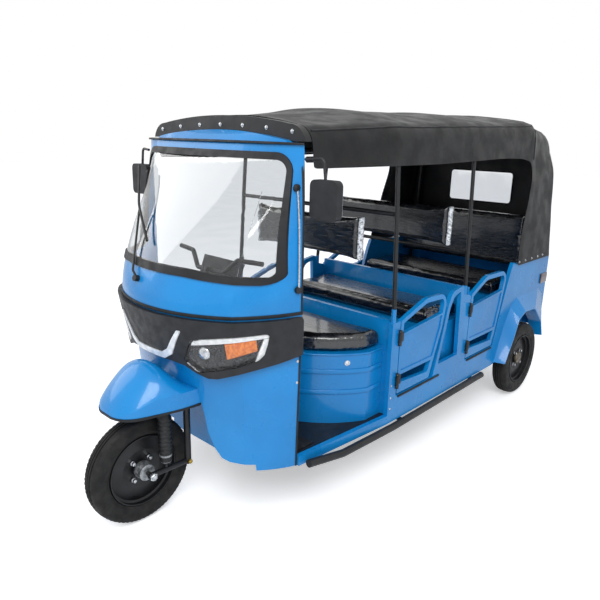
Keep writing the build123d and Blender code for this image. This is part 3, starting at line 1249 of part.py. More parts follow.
MIRROR_STALK_R = 6.0
with BuildPart() as mirrors:
    for side in (LEFT, RIGHT):
        tube(
            (
                (behind(CAB_REAR - 7), side * (CAB_HALF_WIDTH + 2), 1647),
                (behind(CAB_REAR + 10), side * (CAB_HALF_WIDTH + 83), 1652),
                (behind(CAB_REAR + 10), side * (CAB_HALF_WIDTH + 97), 1560),
            ),
            MIRROR_STALK_R,
            20.0,
        )
        with BuildSketch(front_plane(behind(CAB_REAR + 28))) as head:
            with Locations((side * (CAB_HALF_WIDTH + 100), 1495)):
                RectangleRounded(140, 155, 24)
        extrude(head.sketch, amount=36)
finish(mirrors, "mirrors")

with BuildPart() as wiper:
    rod((behind(128), -68, 1106), (behind(66), -68, 1124), 14)
    tube(((behind(80), -70, 1122), (behind(84), -105, 1150), (behind(225), -253, 1398)), 5.0, 20.0)
    tube(((behind(138), -66, 1279), (behind(225), -258, 1412), (behind(345), -430, 1580)), 6.0, 300.0)
    add(cab_upper.part, mode=Mode.SUBTRACT)
finish(wiper, "wiper")

with BuildPart() as tail_lamps:
    for side in (LEFT, RIGHT):
        with Locations((TAIL_PANEL_X - TAIL_LAMP_PROUD / 2, side * (BODY_HALF_WIDTH - 72), 830)):
            Box(TAIL_LAMP_PROUD, 110, 110)
finish(tail_lamps, "tail_lamps")
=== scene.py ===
"""Electric auto rickshaw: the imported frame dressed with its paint, rubber, cloth and fittings."""
import bpy
import json
from math import atan2, cos, pi, radians, sin
from mathutils import Matrix, Vector, noise


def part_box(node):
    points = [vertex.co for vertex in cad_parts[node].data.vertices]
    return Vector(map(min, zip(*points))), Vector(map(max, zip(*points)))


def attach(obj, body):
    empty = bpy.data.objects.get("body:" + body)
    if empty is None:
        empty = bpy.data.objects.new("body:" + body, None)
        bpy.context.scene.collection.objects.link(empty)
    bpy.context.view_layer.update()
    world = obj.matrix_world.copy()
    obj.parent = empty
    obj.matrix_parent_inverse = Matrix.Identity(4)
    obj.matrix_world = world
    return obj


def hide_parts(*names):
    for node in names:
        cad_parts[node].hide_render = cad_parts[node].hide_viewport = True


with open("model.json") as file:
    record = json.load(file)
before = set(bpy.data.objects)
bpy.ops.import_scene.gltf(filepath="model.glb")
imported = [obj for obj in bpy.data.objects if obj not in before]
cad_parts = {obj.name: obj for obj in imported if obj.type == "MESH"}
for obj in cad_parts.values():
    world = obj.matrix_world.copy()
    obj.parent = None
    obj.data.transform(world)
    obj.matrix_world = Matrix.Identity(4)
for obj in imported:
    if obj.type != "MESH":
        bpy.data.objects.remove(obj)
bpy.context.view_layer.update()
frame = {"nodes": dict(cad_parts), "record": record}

scene = bpy.context.scene
bpy.ops.object.select_all(action="DESELECT")

# ---- camera ----
# Standing a little above the roof at the vehicle's front left corner, looking down across the cab.
CAMERA_PLACE = Vector((2.6785, 2.146, 1.735))
CAMERA_YAW = radians(222.87)
CAMERA_PITCH = radians(15.64)
CAMERA_ROLL = radians(-1.39)
CAMERA_LENS = 35.2

forward = Vector((
    cos(CAMERA_YAW) * cos(CAMERA_PITCH), sin(CAMERA_YAW) * cos(CAMERA_PITCH), -sin(CAMERA_PITCH),
))
level_right = forward.cross(Vector((0, 0, 1))).normalized()
level_down = forward.cross(level_right)
right = level_right * cos(CAMERA_ROLL) + level_down * sin(CAMERA_ROLL)
down = level_down * cos(CAMERA_ROLL) - level_right * sin(CAMERA_ROLL)
bpy.ops.object.camera_add()
camera = bpy.context.object
camera.name = "camera"
camera.data.lens = CAMERA_LENS
camera.data.sensor_width = 36.0
camera_turn = Matrix((right, -down, -forward)).transposed().to_4x4()
camera.matrix_world = Matrix.Translation(CAMERA_PLACE) @ camera_turn
scene.camera = camera


def shade(tree, kind, settings=None, links=None):
    """Adds a node with its settings, and links its inputs from other nodes' outputs."""
    node = tree.nodes.new(kind)
    for name, value in (settings or {}).items():
        if name in node.inputs:
            node.inputs[name].default_value = value
        else:
            setattr(node, name, value)
    for name, output in (links or {}).items():
        tree.links.new(output, node.inputs[name])
    return node


# ---- studio ----
# A white room: an even sky on the object, white wherever the camera or a reflection meets it, one
# broad lamp over the front left and a pale floor that keeps the shadow.
SKY = (0.93, 0.96, 1.0, 1.0)
SKY_STRENGTH = 0.72
LAMPS = (
    # place, power in watts, size in metres
    (Vector((3.4, 3.0, 4.6)), 210.0, 3.0),
    (Vector((3.0, -4.5, 3.5)), 70.0, 3.5),
)
FLOOR_SIZE = 60.0

scene.view_settings.view_transform = "Standard"
world = bpy.data.worlds.new("studio")
scene.world = world
world.use_nodes = True
tree = world.node_tree
tree.nodes.clear()
path = shade(tree, "ShaderNodeLightPath")
seen = shade(tree, "ShaderNodeMath", {"operation": "MAXIMUM"})
tree.links.new(path.outputs["Is Camera Ray"], seen.inputs[0])
tree.links.new(path.outputs["Is Glossy Ray"], seen.inputs[1])
shown = shade(tree, "ShaderNodeMath", {"operation": "MAXIMUM"})
tree.links.new(seen.outputs[0], shown.inputs[0])
tree.links.new(path.outputs["Is Transmission Ray"], shown.inputs[1])
sky = shade(tree, "ShaderNodeBackground", {"Color": SKY, "Strength": SKY_STRENGTH})
white = shade(tree, "ShaderNodeBackground", {"Color": (1, 1, 1, 1), "Strength": 1.0})
room = shade(tree, "ShaderNodeMixShader", links={"Fac": shown.outputs[0]})
tree.links.new(sky.outputs[0], room.inputs[1])
tree.links.new(white.outputs[0], room.inputs[2])
shade(tree, "ShaderNodeOutputWorld", links={"Surface": room.outputs[0]})

for place, power, size in LAMPS:
    bpy.ops.object.light_add(type="AREA", location=place)
    lamp = bpy.context.object
    lamp.data.energy = power
    lamp.data.size = size
    lamp.rotation_euler = (Vector((0, 0, 0.8)) - place).to_track_quat("-Z", "Y").to_euler()


def hex_colour(text):
    """Turns an sRGB colour such as "2E8FE0" into linear red, green, blue and alpha."""
    values = []
    for at in (0, 2, 4):
        share = int(text[at:at + 2], 16) / 255
        values.append(share / 12.92 if share <= 0.04045 else ((share + 0.055) / 1.055) ** 2.4)
    return (*values, 1.0)


def start_material(name, settings):
    """Starts a material with one shader; gives back the material, its nodes and the shader."""
    material = bpy.data.materials.new(name)
    material.use_nodes = True
    tree = material.node_tree
    shader = tree.nodes["Principled BSDF"]
    for socket, value in settings.items():
        shader.inputs[socket].default_value = value
    return material, tree, shader


def tones(tree, shader, low, high, per_metre, edges=(0.4, 0.62), socket="Base Color", detail=4.0):
    """Lets a socket wander between two values in soft patches, so many to the metre."""
    place = shade(tree, "ShaderNodeTexCoord").outputs["Object"]
    patches = shade(tree, "ShaderNodeTexNoise", {"Scale": per_metre, "Detail": detail}, {"Vector": place})
    ramp = shade(tree, "ShaderNodeValToRGB", links={"Fac": patches.outputs[0]})
    ramp.color_ramp.elements[0].position = edges[0]
    ramp.color_ramp.elements[1].position = edges[1]
    ramp.color_ramp.elements[0].color = low if isinstance(low, tuple) else (low, low, low, 1)
    ramp.color_ramp.elements[1].color = high if isinstance(high, tuple) else (high, high, high, 1)
    tree.links.new(ramp.outputs["Color"], shader.inputs[socket])
    return ramp


def grain(tree, shader, per_metre, depth, strength=0.5, detail=3.0):
    """Gives the surface a fine uneven grain, so many bumps to the metre and so deep in metres."""
    place = shade(tree, "ShaderNodeTexCoord").outputs["Object"]
    bumps = shade(tree, "ShaderNodeTexNoise", {"Scale": per_metre, "Detail": detail}, {"Vector": place})
    bump = shade(
        tree, "ShaderNodeBump", {"Strength": strength, "Distance": depth}, {"Height": bumps.outputs[0]}
    )
    tree.links.new(bump.outputs["Normal"], shader.inputs["Normal"])


def surface(name, settings, colours, roughness=None, bumps=None, edges=(0.4, 0.62)):
    """A material from its colours, its roughness range and its grain, each with its patches a metre."""
    material, tree, shader = start_material(name, settings)
    low, high, per_metre = colours
    tones(tree, shader, hex_colour(low), hex_colour(high), per_metre, edges)
    if roughness:
        tones(tree, shader, *roughness, socket="Roughness")
    if bumps:
        grain(tree, shader, *bumps)
    return material


def crumple(tree, shader, coarse, factor, fine, strength, depth):
    """Bumps the surface by a coarse pattern times a factor with a fine one on top, so deep in metres."""
    height = shade(tree, "ShaderNodeMath", {"operation": "MULTIPLY_ADD"})
    tree.links.new(coarse.outputs[0], height.inputs[0])
    height.inputs[1].default_value = factor
    tree.links.new(fine.outputs[0], height.inputs[2])
    bump = shade(
        tree, "ShaderNodeBump", {"Strength": strength, "Distance": depth}, {"Height": height.outputs[0]}
    )
    tree.links.new(bump.outputs["Normal"], shader.inputs["Normal"])


def dress(piece, material):
    """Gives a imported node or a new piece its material."""
    if isinstance(piece, str):
        piece = frame["nodes"][piece]
    if piece.material_slots:
        for slot in piece.material_slots:
            slot.material = material
    else:
        piece.data.materials.append(material)


# a pale poured floor, faintly uneven in tone
pale_floor, tree, shader = start_material("pale_floor", {"Roughness": 0.8})
tones(tree, shader, hex_colour("F4F5F7"), hex_colour("FBFBFC"), 2.0)
path = shade(tree, "ShaderNodeLightPath")
glow = shade(tree, "ShaderNodeMath", {"operation": "MULTIPLY"})
tree.links.new(path.outputs["Is Camera Ray"], glow.inputs[0])
glow.inputs[1].default_value = 0.4
shader.inputs["Emission Color"].default_value = (1, 1, 1, 1)
tree.links.new(glow.outputs[0], shader.inputs["Emission Strength"])
bpy.ops.mesh.primitive_grid_add(x_subdivisions=8, y_subdivisions=8, size=FLOOR_SIZE)
floor = bpy.context.object
floor.name = "floor"
dress(floor, pale_floor)

# ---- blue panels ----
# Pressed steel panels, welded and filled, sprayed in glossy sky-blue enamel and baked. The enamel
# keeps a faint orange peel.
PANEL_BLUE = hex_colour("0A80C4")
PANEL_BLUE_DEEP = hex_colour("0776B8")
PANELS = (
    "cab_apron", "cab_upper", "front_fender", "side_panels", "rear_body", "driver_seat_box", "bulkheads",
    "middle_bench", "front_door_left", "front_door_right", "rear_door_left", "rear_door_right",
)
blue_enamel, tree, shader = start_material(
    "blue_enamel", {"Coat Weight": 0.5, "Coat Roughness": 0.06, "Specular IOR Level": 0.25}
)
tones(tree, shader, PANEL_BLUE_DEEP, PANEL_BLUE, 3.0)
tones(tree, shader, 0.26, 0.36, 9.0, socket="Roughness")
grain(tree, shader, 260.0, 0.0004, 0.12)
for node in PANELS:
    dress(node, blue_enamel)


def body_of(node):
    """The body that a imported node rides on."""
    for body, nodes in frame["record"]["behaviour"]["bodies"].items():
        if node in nodes:
            return body
    return None


def choose(piece):
    """Makes a piece the only one selected, and the active one."""
    bpy.ops.object.select_all(action="DESELECT")
    piece.select_set(True)
    bpy.context.view_layer.objects.active = piece


def copied(node, name):
    """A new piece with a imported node's mesh, its loose triangles merged."""
    piece = bpy.data.objects.new(name, frame["nodes"][node].data.copy())
    scene.collection.objects.link(piece)
    piece.data.materials.clear()
    choose(piece)
    bpy.ops.object.mode_set(mode="EDIT")
    bpy.ops.mesh.select_all(action="SELECT")
    bpy.ops.mesh.remove_doubles(threshold=0.00002)
    bpy.ops.object.mode_set(mode="OBJECT")
    return piece


def cut_off(piece, place, normal):
    """Cuts off what lies beyond the plane, on the side its normal points to."""
    bpy.context.view_layer.objects.active = piece
    bpy.ops.object.mode_set(mode="EDIT")
    bpy.ops.mesh.select_all(action="SELECT")
    bpy.ops.mesh.bisect(plane_co=place, plane_no=normal, clear_outer=True)
    bpy.ops.object.mode_set(mode="OBJECT")


def select_faces(piece, wanted):
    """Selects the faces that the test wants, and nothing else of the piece."""
    piece.data.vertices.foreach_set("select", [False] * len(piece.data.vertices))
    piece.data.edges.foreach_set("select", [False] * len(piece.data.edges))
    piece.data.polygons.foreach_set("select", [wanted(face) for face in piece.data.polygons])


def keep_faces(piece, wanted):
    """Deletes every face that the test doesn't want."""
    bpy.context.view_layer.objects.active = piece
    select_faces(piece, lambda face: not wanted(face))
    bpy.ops.object.mode_set(mode="EDIT")
    bpy.ops.mesh.select_mode(type="FACE")
    bpy.ops.mesh.delete(type="FACE")
    bpy.ops.object.mode_set(mode="OBJECT")


def apply_all(piece):
    """Applies the piece's modifiers in order."""
    bpy.context.view_layer.objects.active = piece
    for modifier in list(piece.modifiers):
        bpy.ops.object.modifier_apply(modifier=modifier.name)


def wall(piece, thickness, offset=1.0, edge=0.0):
    """Gives an open skin a wall and, if asked, a small round on its edges."""
    solid = piece.modifiers.new("wall", "SOLIDIFY")
    solid.thickness = thickness
    solid.offset = offset
    if edge:
        bevel = piece.modifiers.new("edge", "BEVEL")
        bevel.width = edge
        bevel.segments = 2
        bevel.limit_method = "ANGLE"
        bevel.angle_limit = radians(50)
    apply_all(piece)
    smooth(piece)


def smooth(piece, angle=35):
    """Smooths the piece's shading where its faces meet at less than the angle."""
    choose(piece)
    bpy.ops.object.shade_smooth_by_angle(angle=radians(angle))


def band_on(node, name, cuts, wanted, thickness, edge=0.0):
    """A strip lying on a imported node's outer skin, between the cutting planes."""
    piece = copied(node, name)
    for place, normal in cuts:
        cut_off(piece, place, normal)
    keep_faces(piece, wanted)
    wall(piece, thickness, 1.0, edge)
    return piece


def place_piece(piece, body, material):
    """Gives a piece its body and its material."""
    dress(piece, material)
    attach(piece, body)


# ---- black rubber trim ----
# Extruded rubber: the windshield's seal, the belt moulding over the joint of the cab's halves, the
# roof gutter's rail, and the lip under the mudguard. Pressed or clipped on.
black_rubber = surface(
    "black_rubber", {"Specular IOR Level": 0.35}, ("121315", "1B1C1F", 14.0),
    (0.45, 0.62, 22.0), (900.0, 0.0003, 0.2),
)
dress("windshield_seal", black_rubber)
UP = Vector((0, 0, 1))
BELT_LOW, BELT_HIGH = 1.0095, 1.0235
CAB_CENTRE = Vector((0.80, 0, 0))


def outwards_from(centre, flat=0.4):
    """A test for upright faces that look away from a vertical line."""
    def wanted(face):
        away = face.center - centre
        away.z = 0
        return face.normal.dot(away.normalized()) > flat
    return wanted


belt_moulding = band_on(
    "cab_upper", "belt_moulding", (((0, 0, BELT_HIGH), UP), ((0, 0, BELT_LOW), -UP)),
    outwards_from(CAB_CENTRE), 0.005, 0.0015,
)
place_piece(belt_moulding, "chassis", black_rubber)

GUTTER_LOW, GUTTER_HIGH = 1.699, 1.7075
gutter_rail = band_on(
    "cab_upper", "gutter_rail", (((0, 0, GUTTER_HIGH), UP), ((0, 0, GUTTER_LOW), -UP)),
    outwards_from(CAB_CENTRE), 0.011, 0.003,
)
place_piece(gutter_rail, "chassis", black_rubber)

# ---- roof front band ----
# A black pressed strip over the joint of cab roof and canopy, held by a row of bright screws.
BAND_SCREWS, BAND_HALF, BAND_SCREW_R = 7, 0.45, 0.009
satin_black = surface(
    "satin_black_enamel", {"Specular IOR Level": 0.45}, ("0E0F11", "17181B", 10.0),
    (0.38, 0.52, 18.0), (500.0, 0.0003, 0.15),
)
dress("roof_edge_strip", satin_black)

bright_zinc = surface("bright_zinc", {"Metallic": 1.0}, ("B9BCC0", "DADCDF", 120.0), (0.22, 0.4, 160.0))


def stood(place, direction):
    """The matrix that stands a part made along Z at a place, looking along a direction."""
    return Matrix.Translation(place) @ Vector(direction).to_track_quat("Z", "Y").to_matrix().to_4x4()


def screw(place, direction, radius):
    """A domed screw head with its washer, looking along a direction, as a piece still without a body."""
    bpy.ops.mesh.primitive_cylinder_add(vertices=16, radius=radius, depth=radius * 0.3)
    piece = bpy.context.object
    select_faces(piece, lambda face: face.normal.z > 0.5)
    bpy.ops.object.mode_set(mode="EDIT")
    bpy.ops.mesh.inset(thickness=radius * 0.3)
    bpy.ops.mesh.extrude_region_move(TRANSFORM_OT_translate={"value": (0, 0, radius * 0.35)})
    bpy.ops.mesh.inset(thickness=radius * 0.25)
    bpy.ops.transform.translate(value=(0, 0, radius * 0.15))
    bpy.ops.object.mode_set(mode="OBJECT")
    piece.data.transform(stood(place, direction))
    smooth(piece, 40)
    return piece


SIDES = (("left", 1), ("right", -1))


def joined(pieces, name):
    """Joins pieces into one."""
    bpy.ops.object.select_all(action="DESELECT")
    for piece in pieces:
        piece.select_set(True)
    bpy.context.view_layer.objects.active = pieces[0]
    if len(pieces) > 1:
        bpy.ops.object.join()
    pieces[0].name = name
    return pieces[0]


def on_skin(node, start, direction):
    """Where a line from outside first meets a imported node, and the way its skin looks there."""
    hit, place, normal, _ = frame["nodes"][node].ray_cast(Vector(start), Vector(direction).normalized())
    if not hit:
        raise ValueError(f"{node} isn't met from {tuple(start)}")
    return place, normal


heads = []
for at in range(BAND_SCREWS):
    y = -BAND_HALF + 2 * BAND_HALF * at / (BAND_SCREWS - 1)
    place, normal = on_skin("roof_edge_strip", (1.6, y, 1.776 - 0.12 * abs(y) ** 2), (-1, 0, 0))
    heads.append(screw(place, normal, BAND_SCREW_R))
place_piece(joined(heads, "band_screws"), "chassis", bright_zinc)

# ---- windows ----
# The windshield is laminated glass set in the rubber seal. The canopy's rear window is clear vinyl
# film, and the headlamps have clear moulded covers.
windshield_glass, tree, shader = start_material(
    "windshield_glass", {"Transmission Weight": 1.0, "IOR": 1.45, "Base Color": (0.97, 0.99, 0.99, 1)}
)
tones(tree, shader, 0.0, 0.03, 3.0, socket="Roughness")
dress("windshield", windshield_glass)
clear_cover, tree, shader = start_material(
    "clear_lamp_cover", {"Transmission Weight": 1.0, "IOR": 1.25, "Base Color": (0.98, 0.98, 0.98, 1)}
)
tones(tree, shader, 0.0, 0.05, 30.0, socket="Roughness")
dress("headlight_lenses", clear_cover)
clear_vinyl, tree, shader = start_material(
    "clear_vinyl", {"Transmission Weight": 1.0, "IOR": 1.2, "Base Color": (0.95, 0.96, 0.97, 1)}
)
tones(tree, shader, 0.05, 0.2, 8.0, socket="Roughness")
grain(tree, shader, 18.0, 0.004, 0.4)
dress("rear_window", clear_vinyl)

# ---- fascia and headlamps ----
# A matte black moulding clipped over the nose, with a bright U in the middle and a lamp on each
# side: black bowl, round reflector, a white light guide along the top and outer end, amber turn lamp.
moulded_black = surface(
    "moulded_black", {"Specular IOR Level": 0.4}, ("16171A", "1F2024", 16.0),
    (0.42, 0.6, 26.0), (1400.0, 0.0002, 0.25),
)
for node in ("fascia", "mirrors", "instrument_pod"):
    dress(node, moulded_black)
gloss_black = surface(
    "gloss_black_bowl", {"Specular IOR Level": 0.6}, ("17181B", "2A2C30", 40.0),
    (0.12, 0.3, 60.0),
)
dress("headlight_housings", gloss_black)
satin_chrome = surface(
    "satin_chrome", {"Metallic": 0.35, "Coat Weight": 0.5}, ("D2D6DA", "EEF0F2", 30.0),
    (0.3, 0.42, 50.0),
)
dress("grille_strip", satin_chrome)
white_guide = surface(
    "white_light_guide", {"Roughness": 0.25, "Coat Weight": 0.6}, ("E8ECEF", "FAFCFD", 60.0),
)
amber_plastic = surface(
    "amber_plastic", {"Roughness": 0.2, "Coat Weight": 0.7}, ("D9691B", "F08A2A", 90.0),
)
silver_reflector = surface(
    "silver_reflector", {"Metallic": 1.0}, ("B8BCC2", "E6E9EC", 80.0),
    (0.1, 0.3, 120.0),
)

# the light guide, as (height of the line at the lamp's inner end, at its outer end), and the depth
# of the strip below it; the turn lamp and the reflector by their middle, width and height
LAMP_INNER, LAMP_OUTER = 0.257, 0.510
GUIDE_INNER_Z, GUIDE_OUTER_Z = 0.9045, 0.9505
GUIDE_DEPTH = 0.016
GUIDE_END_TOP = (0.488, 0.950)
GUIDE_END_LEAN = radians(13.6)
TURN_LAMP_INNER, TURN_LAMP_OUTER = 0.379, 0.466
TURN_LAMP_FOOT = (0.379, 0.834)
TURN_LAMP_RISE = radians(25)
REFLECTOR = (0.292, 0.850, 0.030)
guide_slope = atan2(GUIDE_OUTER_Z - GUIDE_INNER_Z, LAMP_OUTER - LAMP_INNER)


def faces_front(face):
    """True for the front skin of a lamp's bowl."""
    return face.normal.x > 0.35


for side_name, side in SIDES:
    across = Vector((0, side, 0))
    below = Vector((0, side * sin(guide_slope), -cos(guide_slope)))
    top = band_on(
        "headlight_housings", f"light_guide_top_{side_name}",
        (((0, 0, 0), -across), ((0, side * LAMP_INNER, GUIDE_INNER_Z - GUIDE_DEPTH), below)),
        faces_front, 0.012, 0.002,
    )
    inwards = Vector((0, -side * cos(GUIDE_END_LEAN), sin(GUIDE_END_LEAN)))
    end = band_on(
        "headlight_housings", f"light_guide_end_{side_name}",
        (((0, side * GUIDE_END_TOP[0], GUIDE_END_TOP[1]), inwards),
         ((0, side * LAMP_INNER, GUIDE_INNER_Z - GUIDE_DEPTH - 0.002), -below)),
        faces_front, 0.012, 0.002,
    )
    place_piece(joined([top, end], f"light_guide_{side_name}"), "chassis", white_guide)
    foot_y, foot_z = TURN_LAMP_FOOT
    turn = band_on(
        "headlight_housings", f"turn_lamp_{side_name}",
        (
            ((0, side * TURN_LAMP_INNER, 0), -across), ((0, side * TURN_LAMP_OUTER, 0), across),
            ((0, side * LAMP_INNER, GUIDE_INNER_Z - GUIDE_DEPTH - 0.004), -below),
            ((0, side * foot_y, foot_z), (0, side * sin(TURN_LAMP_RISE), -cos(TURN_LAMP_RISE))),
        ),
        faces_front, 0.010, 0.003,
    )
    place_piece(turn, "chassis", amber_plastic)
    y, z, radius = REFLECTOR
    place, normal = on_skin("headlight_housings", (1.6, side * y, z), (-1, 0, 0))
    bpy.ops.mesh.primitive_uv_sphere_add(segments=32, ring_count=16, radius=radius)
    reflector = bpy.context.object
    cut_off(reflector, (0, 0, 0), (0, 0, -1))
    reflector.data.transform(Matrix.Diagonal((1, 1, 0.42, 1)))
    reflector.data.transform(stood(place + Vector((0.0005, 0, 0)), (0.94, side * 0.3, -0.05)))
    smooth(reflector)
    reflector.name = f"reflector_{side_name}"
    place_piece(reflector, "chassis", silver_reflector)

# ---- canopy ----
# Black coated cloth, sewn from a roof, two side curtains and a back, stretched over the bows and
# studded to the body along its hem. It hangs open over the doors with a straight valance.
FRONT_AXLE_X = 1.4225
# distance behind the front axle, half widths at the eave and above it, shoulder and ridge heights,
# corner radius, all in metres
CANOPY_STATIONS = (
    (0.541, 0.546, 0.529, 1.783, 1.816, 0.090),
    (1.112, 0.564, 0.556, 1.812, 1.876, 0.090),
    (2.670, 0.564, 0.556, 1.858, 1.898, 0.090),
    (2.720, 0.562, 0.542, 1.842, 1.886, 0.100),
    (3.080, 0.558, 0.504, 1.815, 1.846, 0.150),
)
BOW_PLACES = (0.541, 1.112, 1.855, 2.670, 3.040)
EAVE_Z = 1.540
HEM_Z, HEM_HALF = 0.940, 0.606
VALANCE = ((0.541, 1.608), (1.512, 1.611), (2.240, 1.632), (2.500, 1.627), (2.625, 1.607))
CURTAIN_FRONT = (
    (1.607, 2.625), (1.546, 2.661), (1.489, 2.665), (1.333, 2.608), (1.078, 2.537), (0.940, 2.505),
)
CURTAIN_ROWS = (1.562, 1.517, 1.467, 1.417, 1.367, 1.317, 1.267, 1.212, 1.157, 1.102, 1.047, 0.992, HEM_Z)
TAIL = 3.080
WINDOW_HALF, WINDOW_LOW, WINDOW_HIGH = 0.265, 1.267, 1.517
ROOF_STEPS, CORNER_STEPS, VALANCE_STEPS = 12, 6, 6
FRONT_STEPS, TAIL_STEPS = 48, 12
CLOTH = 0.0022
SAG = 0.009


def behind(distance):
    """X of a point so many metres behind the front axle."""
    return FRONT_AXLE_X - distance


def between(table, at):
    """Reads a table of (place, value, ...) rows at a place, in straight lines between its rows."""
    for low, high in zip(table, table[1:]):
        if (low[0] - at) * (high[0] - at) <= 0:
            share = (at - low[0]) / (high[0] - low[0])
            return [a + share * (b - a) for a, b in zip(low[1:], high[1:])]
    return list(table[0][1:] if abs(at - table[0][0]) < abs(at - table[-1][0]) else table[-1][1:])


def side_half(distance, z):
    """Half width of the canopy's side at a height."""
    eave, half, shoulder, _, corner = between(CANOPY_STATIONS, distance)
    high = shoulder - corner
    if z > EAVE_Z:
        return half + (eave - half) * (high - z) / (high - EAVE_Z)
    return eave + (HEM_HALF - eave) * (EAVE_Z - z) / (EAVE_Z - HEM_Z)


def slack(distance):
    """How far the cloth sags between the bows, from 0 on a bow to 1 half-way."""
    for front, rear in zip(BOW_PLACES, BOW_PLACES[1:]):
        if front <= distance <= rear:
            share = (distance - front) / (rear - front)
            return 4 * share * (1 - share)
    return 0.0


def roof_half(distance, low_z):
    """The right half of the roof's cross-section, from the ridge down to the valance's edge."""
    _, half, shoulder, ridge, corner = between(CANOPY_STATIONS, distance)
    top = half - corner
    dip = SAG * slack(distance)
    points = []
    for step in range(ROOF_STEPS):
        share = step / ROOF_STEPS
        points.append((top * share, ridge - (ridge - shoulder) * share * share - dip * (1 - 0.5 * share)))
    for step in range(CORNER_STEPS):
        turn = pi / 2 * step / CORNER_STEPS
        z = shoulder - corner + corner * cos(turn) - dip * 0.5 * cos(turn)
        points.append((top + corner * sin(turn), z))
    high = shoulder - corner
    for step in range(VALANCE_STEPS + 1):
        z = high + (low_z - high) * step / VALANCE_STEPS
        points.append((side_half(distance, z) - 0.4 * dip * sin(pi * step / VALANCE_STEPS), z))
    return points


def rumple(place, depth, per_metre=5.0, seed=0.0):
    """A smooth unevenness of cloth at a place, in metres."""
    at = Vector((place.x * per_metre + seed, place.y * per_metre, place.z * per_metre * 0.6))
    return depth * noise.noise(at)


points, faces = [], []
roof_front, valance_end = BOW_PLACES[0], VALANCE[-1][0]
roof_places = [roof_front + (valance_end - roof_front) * step / FRONT_STEPS for step in range(FRONT_STEPS)]
roof_places += [valance_end + (TAIL - valance_end) * step / TAIL_STEPS for step in range(TAIL_STEPS + 1)]
row_length = 2 * (ROOF_STEPS + CORNER_STEPS + VALANCE_STEPS) + 1
for distance in roof_places:
    low_z = between(VALANCE, distance)[0] if distance < valance_end else CURTAIN_FRONT[0][0]
    half_row = roof_half(distance, low_z)
    for y, z in [(-y, z) for y, z in half_row[:0:-1]] + half_row:
        points.append(Vector((behind(distance), y, z)))
for row in range(len(roof_places) - 1):
    for column in range(row_length - 1):
        start = row * row_length + column
        faces.append((start, start + 1, start + row_length + 1, start + row_length))

# the side curtains hang on from the last rows of the roof; each is kept as rows of point numbers
curtain_rows = {}
for side, column in ((-1, 0), (1, row_length - 1)):
    rows = [[(FRONT_STEPS + step) * row_length + column for step in range(TAIL_STEPS + 1)]]
    for z in CURTAIN_ROWS:
        front = between(CURTAIN_FRONT, z)[0]
        row = []
        for step in range(TAIL_STEPS + 1):
            distance = front + (TAIL - front) * step / TAIL_STEPS
            row.append(len(points))
            points.append(Vector((behind(distance), side * side_half(distance, z), z)))
        rows.append(row)
    for upper, lower in zip(rows, rows[1:]):
        for step in range(TAIL_STEPS):
            faces.append((upper[step], upper[step + 1], lower[step + 1], lower[step]))
    curtain_rows[side] = rows

# the back closes the tail's outline with level rows, and leaves a hole for the window
last_row = (len(roof_places) - 1) * row_length
outline = [row[-1] for row in curtain_rows[-1][:0:-1]]
outline += [last_row + column for column in range(row_length)]
outline += [row[-1] for row in curtain_rows[1][1:]]
BACK_SHARES = (1.0, 0.88, 0.74, 0.6, WINDOW_HALF / 0.57, 0.37, 0.28, 0.18, 0.09, 0.0)
shares = [-share for share in BACK_SHARES] + list(BACK_SHARES[-2::-1])
back_rows = []
for at in range(len(outline) // 2):
    left, right = outline[at], outline[-1 - at]
    half, z = points[right].y, points[right].z
    row = [left]
    for share in shares[1:-1]:
        y = share * half
        if abs(abs(share) - WINDOW_HALF / 0.57) < 0.001 and WINDOW_LOW - 0.001 <= z <= WINDOW_HIGH + 0.001:
            y = WINDOW_HALF if share > 0 else -WINDOW_HALF
        row.append(len(points))
        points.append(Vector((behind(TAIL), y, z)))
    row.append(right)
    back_rows.append(row)
for lower, upper in zip(back_rows, back_rows[1:]):
    for column in range(len(lower) - 1):
        corners = (lower[column], lower[column + 1], upper[column], upper[column + 1])
        middle = sum((points[i] for i in corners), Vector())
        middle /= 4
        if abs(middle.y) < WINDOW_HALF and WINDOW_LOW < middle.z < WINDOW_HIGH:
            continue
        faces.append((lower[column], lower[column + 1], upper[column + 1], upper[column]))
ridge_point = outline[len(outline) // 2]
for start, end in zip(back_rows[-1], back_rows[-1][1:]):
    faces.append((start, end, ridge_point))

# unevenness of the cloth: soft ripples on the valance, folds low on the curtains near the tail
for place in points:
    if place.z < 1.70 and abs(place.y) > 0.45:
        outwards = 1 if place.y > 0 else -1
        low = min(1.0, max(0.0, (1.70 - place.z) / 0.15))
        held = min(1.0, max(0.0, (place.z - HEM_Z) / 0.08)) if place.z < 1.4 else 1.0
        place.y += outwards * low * held * (rumple(place, 0.009, 6.0) + rumple(place, 0.005, 15.0, 3.0))
    elif place.z > 1.70:
        place.z += rumple(place, 0.006, 4.0, 7.0)
canopy_mesh = bpy.data.meshes.new("canopy")
canopy_mesh.from_pydata([tuple(place) for place in points], [], faces)
canopy = bpy.data.objects.new("canopy", canopy_mesh)
scene.collection.objects.link(canopy)
choose(canopy)
bpy.ops.object.mode_set(mode="EDIT")
bpy.ops.mesh.select_all(action="SELECT")
bpy.ops.mesh.normals_make_consistent(inside=False)
bpy.ops.object.mode_set(mode="OBJECT")
ridge_face = max(canopy.data.polygons, key=lambda face: face.center.z)
if ridge_face.normal.z < 0:
    canopy.data.flip_normals()
softening = canopy.modifiers.new("softening", "SUBSURF")
softening.levels = softening.render_levels = 1
wall(canopy, CLOTH, -1.0)

